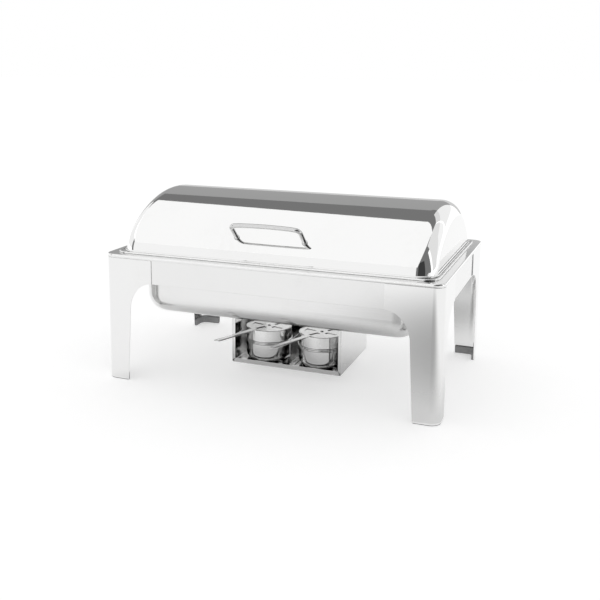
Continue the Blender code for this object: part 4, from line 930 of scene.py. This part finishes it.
def makeBurner(label, size):
    cupLow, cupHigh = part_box("burner_cup_" + label)
    place = Vector(((cupLow.x + cupHigh.x) / 2, (cupLow.y + cupHigh.y) / 2, cupLow.z))
    rim = (cupHigh.x - cupLow.x) / 2
    cupTop = cupHigh.z - cupLow.z
    radius, sheet, bead = rim - size["bead"], size["sheet"], size["beadHeight"]
    inner, fold = radius - sheet, bead * 0.45

    def stand(name, mesh, finish="burnerBright", body="burner_", sharp=50):
        mesh.transform(Matrix.Translation(place))
        node = "burner_" + name[6:].lower() + "_" + label
        return setPiece(name + "." + label, mesh, finish, body + label, [node], sharp=sharp)

    def floorAndWall(wall, bottom, rounding):
        return [(0, bottom)] + [(wall - rounding + rounding * sin(angle), bottom + rounding * (1 - cos(angle)))
                                for angle in sweep(pi / 2, 9)]

    cup = floorAndWall(radius, 0, size["floorRound"])
    cup += [(radius, cupTop - bead * 1.3), (radius + size["bead"] * 0.3, cupTop - bead * 1.12)]
    cup += [(rim - fold + fold * sin(angle), cupTop - bead * 0.5 - fold * cos(angle)) for angle in sweep(pi, 8)]
    cup += [(inner + 0.0003, cupTop - bead * 0.05), (inner, cupTop - 0.0004)]
    cup += floorAndWall(inner, sheet, size["floorRound"] - sheet)[::-1]
    stand("burnerCup", turned("cup", cup, closed=False))

    wickLow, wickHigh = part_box("burner_wick_" + label)
    wickRadius, wickTop, floorZ = (wickHigh.x - wickLow.x) / 2, wickHigh.z - cupLow.z, sheet + air
    wick = [(0, floorZ), (wickRadius - size["floorRound"], floorZ), (wickRadius, floorZ + size["floorRound"]),
            (wickRadius, wickTop - 0.002)]
    wick += [(wickRadius - 0.003 * (1 - cos(angle)), wickTop - 0.002 + 0.002 * sin(angle))
             for angle in sweep(pi / 2, 5, 1)]
    wick += [(wickRadius * share, wickTop - 0.0012 * (i % 2)) for i, share in
             enumerate((0.8, 0.66, 0.52, 0.4, 0.28, 0.16))] + [(0, wickTop - 0.0006)]
    stand("burnerWick", turned("wick", wick, closed=False), "wickWadding", sharp=38)

    top, low, spigotEnd = cupTop + size["coverHeight"], cupTop + air, cupTop - size["spigot"]
    plateTop = top - size["lip"]
    plateLow = plateTop - sheet
    spigot, bore = inner - air, size["rivetShank"] / 2 + air
    outer = radius - size["windowMargin"]
    wall = [(spigot, spigotEnd), (spigot, low), (rim - 0.0012, low)]
    wall += [(rim - fold + fold * sin(angle), low + fold - fold * cos(angle)) for angle in sweep(pi, 8)]
    wall += [(radius + 0.0003, low + bead * 1.05), (radius, low + bead * 1.3), (radius, top - 0.0009)]
    wall += [(inner + sheet / 2 + 0.0004 * cos(angle), top - 0.0004 + 0.0004 * sin(angle))
             for angle in sweep(pi, 8)]
    wall += [(inner, plateLow), (spigot - sheet, plateLow), (spigot - sheet, spigotEnd)]
    plate = flatPlate("plate", [circle(0, 0, inner + 0.0001, 96)] + sectorHoles(size["windowTurn"], size, outer)
                      + [circle(0, 0, bore, 20)], plateLow, plateTop, 0.0001)
    stand("burnerCover", joinMeshes("cover", [turned("wall", wall), plate]))

    discLow = plateTop + air
    discTop = discLow + size["discSheet"]
    holes = sectorHoles(size["windowTurn"] + pi / size["windows"], size, outer)
    disc = flatPlate("disc", [circle(0, 0, inner - size["discGap"], 96)] + holes + [circle(0, 0, bore, 20)],
                     discLow, discTop, 0.0001)
    paddle = makePaddle(size, radius, outer, discTop, top)
    stand("burnerRegulator", joinMeshes("regulator", [disc, paddle]), body="regulator_")

    head, tall, shank = size["rivetHead"] / 2, size["rivetHeight"], size["rivetShank"] / 2
    headLow, tail = discTop + air, plateLow - air
    pivot = domedHead(head, tall, headLow)
    pivot += [(head, headLow), (shank, headLow), (shank, tail), (head * 0.8, tail), (head * 0.8, tail - tall),
              (0, tail - tall)]
    stand("burnerRivet", turned("pivot", pivot, 32, closed=False), "fixingBright", sharp=38)


for label in ("left", "right"):
    makeBurner(label, burnerSizes)
print("burners made")


# studio

studio = dict(floorSize=90, floorTone=0.80, floorGlow=0.42, skyOnFloor=0.77, roomTone=0.20, backdrop=1.0)


def grey(tone):
    return (tone, tone, tone, 1)


def plainMaterial(name, tone, glow):
    material = bpy.data.materials.new(name)
    material.use_nodes = True
    shader = material.node_tree.nodes["Principled BSDF"]
    for label, value in (("Base Color", grey(tone)), ("Roughness", 1.0), ("Specular IOR Level", 0.0),
                         ("Emission Color", grey(1)), ("Emission Strength", glow)):
        shader.inputs[label].default_value = value
    return material


def makeSheetObject(name, width, height, material):
    bm = bmesh.new()
    bmesh.ops.create_grid(bm, x_segments=1, y_segments=1, size=0.5)
    bmesh.ops.scale(bm, verts=bm.verts, vec=(width, height, 1))
    mesh = bpy.data.meshes.new(name)
    bm.to_mesh(mesh)
    bm.free()
    mesh.materials.append(material)
    sheet = addObject(name, mesh)
    return sheet


def makeFloor():
    paper = plainMaterial("paperFloor", studio["floorTone"], studio["floorGlow"])
    floor = makeSheetObject("floor", studio["floorSize"], studio["floorSize"], paper)
    floor.location.z = cadBox[0].z - 0.0002


def makeRoom():
    # the background is white, the floor is lit by a pale sky, and steel reflects a dimmer room
    world = bpy.data.worlds.new("room")
    bpy.context.scene.world = world
    world.use_nodes = True
    tree = world.node_tree
    seen = addNode(tree, "LightPath", (-800, 200))
    forFloor = addNode(tree, "Mix", (-500, 0), data_type="RGBA")
    forFloor.inputs[6].default_value = grey(studio["roomTone"])
    forFloor.inputs[7].default_value = grey(studio["skyOnFloor"])
    forCamera = addNode(tree, "Mix", (-250, 0), data_type="RGBA")
    forCamera.inputs[7].default_value = grey(studio["backdrop"])
    wire(tree, (seen, "Is Diffuse Ray", forFloor, "Factor"), (seen, "Is Camera Ray", forCamera, "Factor"),
         (forFloor, 2, forCamera, 6), (forCamera, 2, tree.nodes["Background"], "Color"))


# what the polished steel sees round it; tone is what a mirror would show, sizes in metres
panels = {
    "overhead": dict(place=(-0.92, -1.00, 1.75), facing=(0, 0, -1), turn=-11, wide=3.2, tall=3.7, tone=0.90),
    "frontLeft": dict(place=(-1.45, -2.77, 0.875), facing=(0, 1, 0), turn=-11, wide=3.0, tall=1.75, tone=0.84),
    "rightEdge": dict(place=(2.1, -0.05, 1.2), facing=(-1, 0, 0), turn=0, wide=0.4, tall=2.8, tone=1.1),
    "rightSide": dict(place=(2.1, 1.4, 1.9), facing=(-1, 0, 0), turn=0, wide=2.5, tall=4.2, tone=0.66),
    "backRight": dict(place=(1.4, 2.9, 1.9), facing=(-0.3, -1, 0), turn=0, wide=1.7, tall=4.2, tone=0.60),
    "leftSide": dict(place=(-2.6, 0.3, 0.95), facing=(1, 0, 0), turn=0, wide=3.4, tall=2.3, tone=0.8),
}
cards = {
    "backWall": dict(place=(0, 3.4, 1.62), facing=(0, -1, 0), wide=9, tall=3.2, tone=0.38, soft=False),
    "backGlow": dict(place=(0, 3.3, 0.45), facing=(0, -1, 0), wide=9, tall=0.9, tone=0.66, soft=False),
    "darkFlag": dict(place=(1.25, -2.1, 1.2), facing=(-0.6, 0.8, 0), wide=1.7, tall=2.6, tone=0.05, soft=False),
    "floorShade": dict(place=(0.34, -0.62, 0.004), facing=(0, 0, 1), wide=1, tall=1.3, tone=0.45, soft=True),
    "underShade": dict(place=(0, -0.07, 0.003), facing=(0, 0, 1), wide=0.85, tall=0.52, tone=0.42, soft=True),
}


def placeInStudio(item, look, turn):
    item.location = look["place"]
    item.rotation_mode = "QUATERNION"
    item.rotation_quaternion = turn
    item.visible_camera = False
    item.visible_diffuse = False


def makePanel(name, look):
    lamp = bpy.data.lights.new(name, "AREA")
    lamp.shape = "RECTANGLE"
    lamp.size, lamp.size_y = look["wide"], look["tall"]
    lamp.energy = look["tone"] * pi * look["wide"] * look["tall"]
    panel = addObject(name, lamp)
    face = Vector(look["facing"]).to_track_quat("-Z", "Y")
    placeInStudio(panel, look, Matrix.Rotation(radians(look["turn"]), 3, "Z").to_quaternion() @ face)


def makeCard(name, look):
    paint = plainMaterial(name + "Paint", 0.0, look["tone"])
    if look["soft"]:  # fades out round its middle
        tree = paint.node_tree
        at = addNode(tree, "TexCoord", (-800, 0))
        middle = addNode(tree, "VectorMath", (-600, 0), {1: (0.5, 0.5, 0.5)}, operation="SUBTRACT")
        away = addNode(tree, "VectorMath", (-420, 0), operation="LENGTH")
        fade = addNode(tree, "MapRange", (-220, 0), {"From Min": 0.5, "From Max": 0.08},
                       interpolation_type="SMOOTHSTEP")
        wire(tree, (at, "Generated", middle, 0), (middle, 0, away, 0), (away, "Value", fade, "Value"),
             (fade, "Result", tree.nodes["Principled BSDF"], "Alpha"))
    card = makeSheetObject(name, look["wide"], look["tall"], paint)
    placeInStudio(card, look, Vector(look["facing"]).to_track_quat("Z", "Y"))
    card.visible_shadow = False


cameraView = dict(place=(0.5434, -1.50423, 0.56456), yaw=21.586, pitch=10.172, roll=-0.254, lens=51.614,
                  shiftX=0.0403, shiftY=-0.1262)


def makeCamera(look):
    camera = bpy.data.cameras.new("camera")
    camera.sensor_width, camera.clip_end = 36, 100
    camera.lens, camera.shift_x, camera.shift_y = look["lens"], look["shiftX"], look["shiftY"]
    seat = addObject("camera", camera)
    yaw, pitch, roll = (radians(look[key]) for key in ("yaw", "pitch", "roll"))
    forward = Vector((-sin(yaw) * cos(pitch), cos(yaw) * cos(pitch), -sin(pitch)))
    seat.rotation_mode = "QUATERNION"
    seat.rotation_quaternion = forward.to_track_quat("-Z", "Y") @ Matrix.Rotation(-roll, 3, "Z").to_quaternion()
    seat.location = look["place"]
    bpy.context.scene.camera = seat


makeFloor()
makeRoom()
for name, look in panels.items():
    makePanel(name, look)
for name, look in cards.items():
    makeCard(name, look)
makeCamera(cameraView)
bpy.context.scene.view_settings.view_transform = "Standard"
print("studio made")
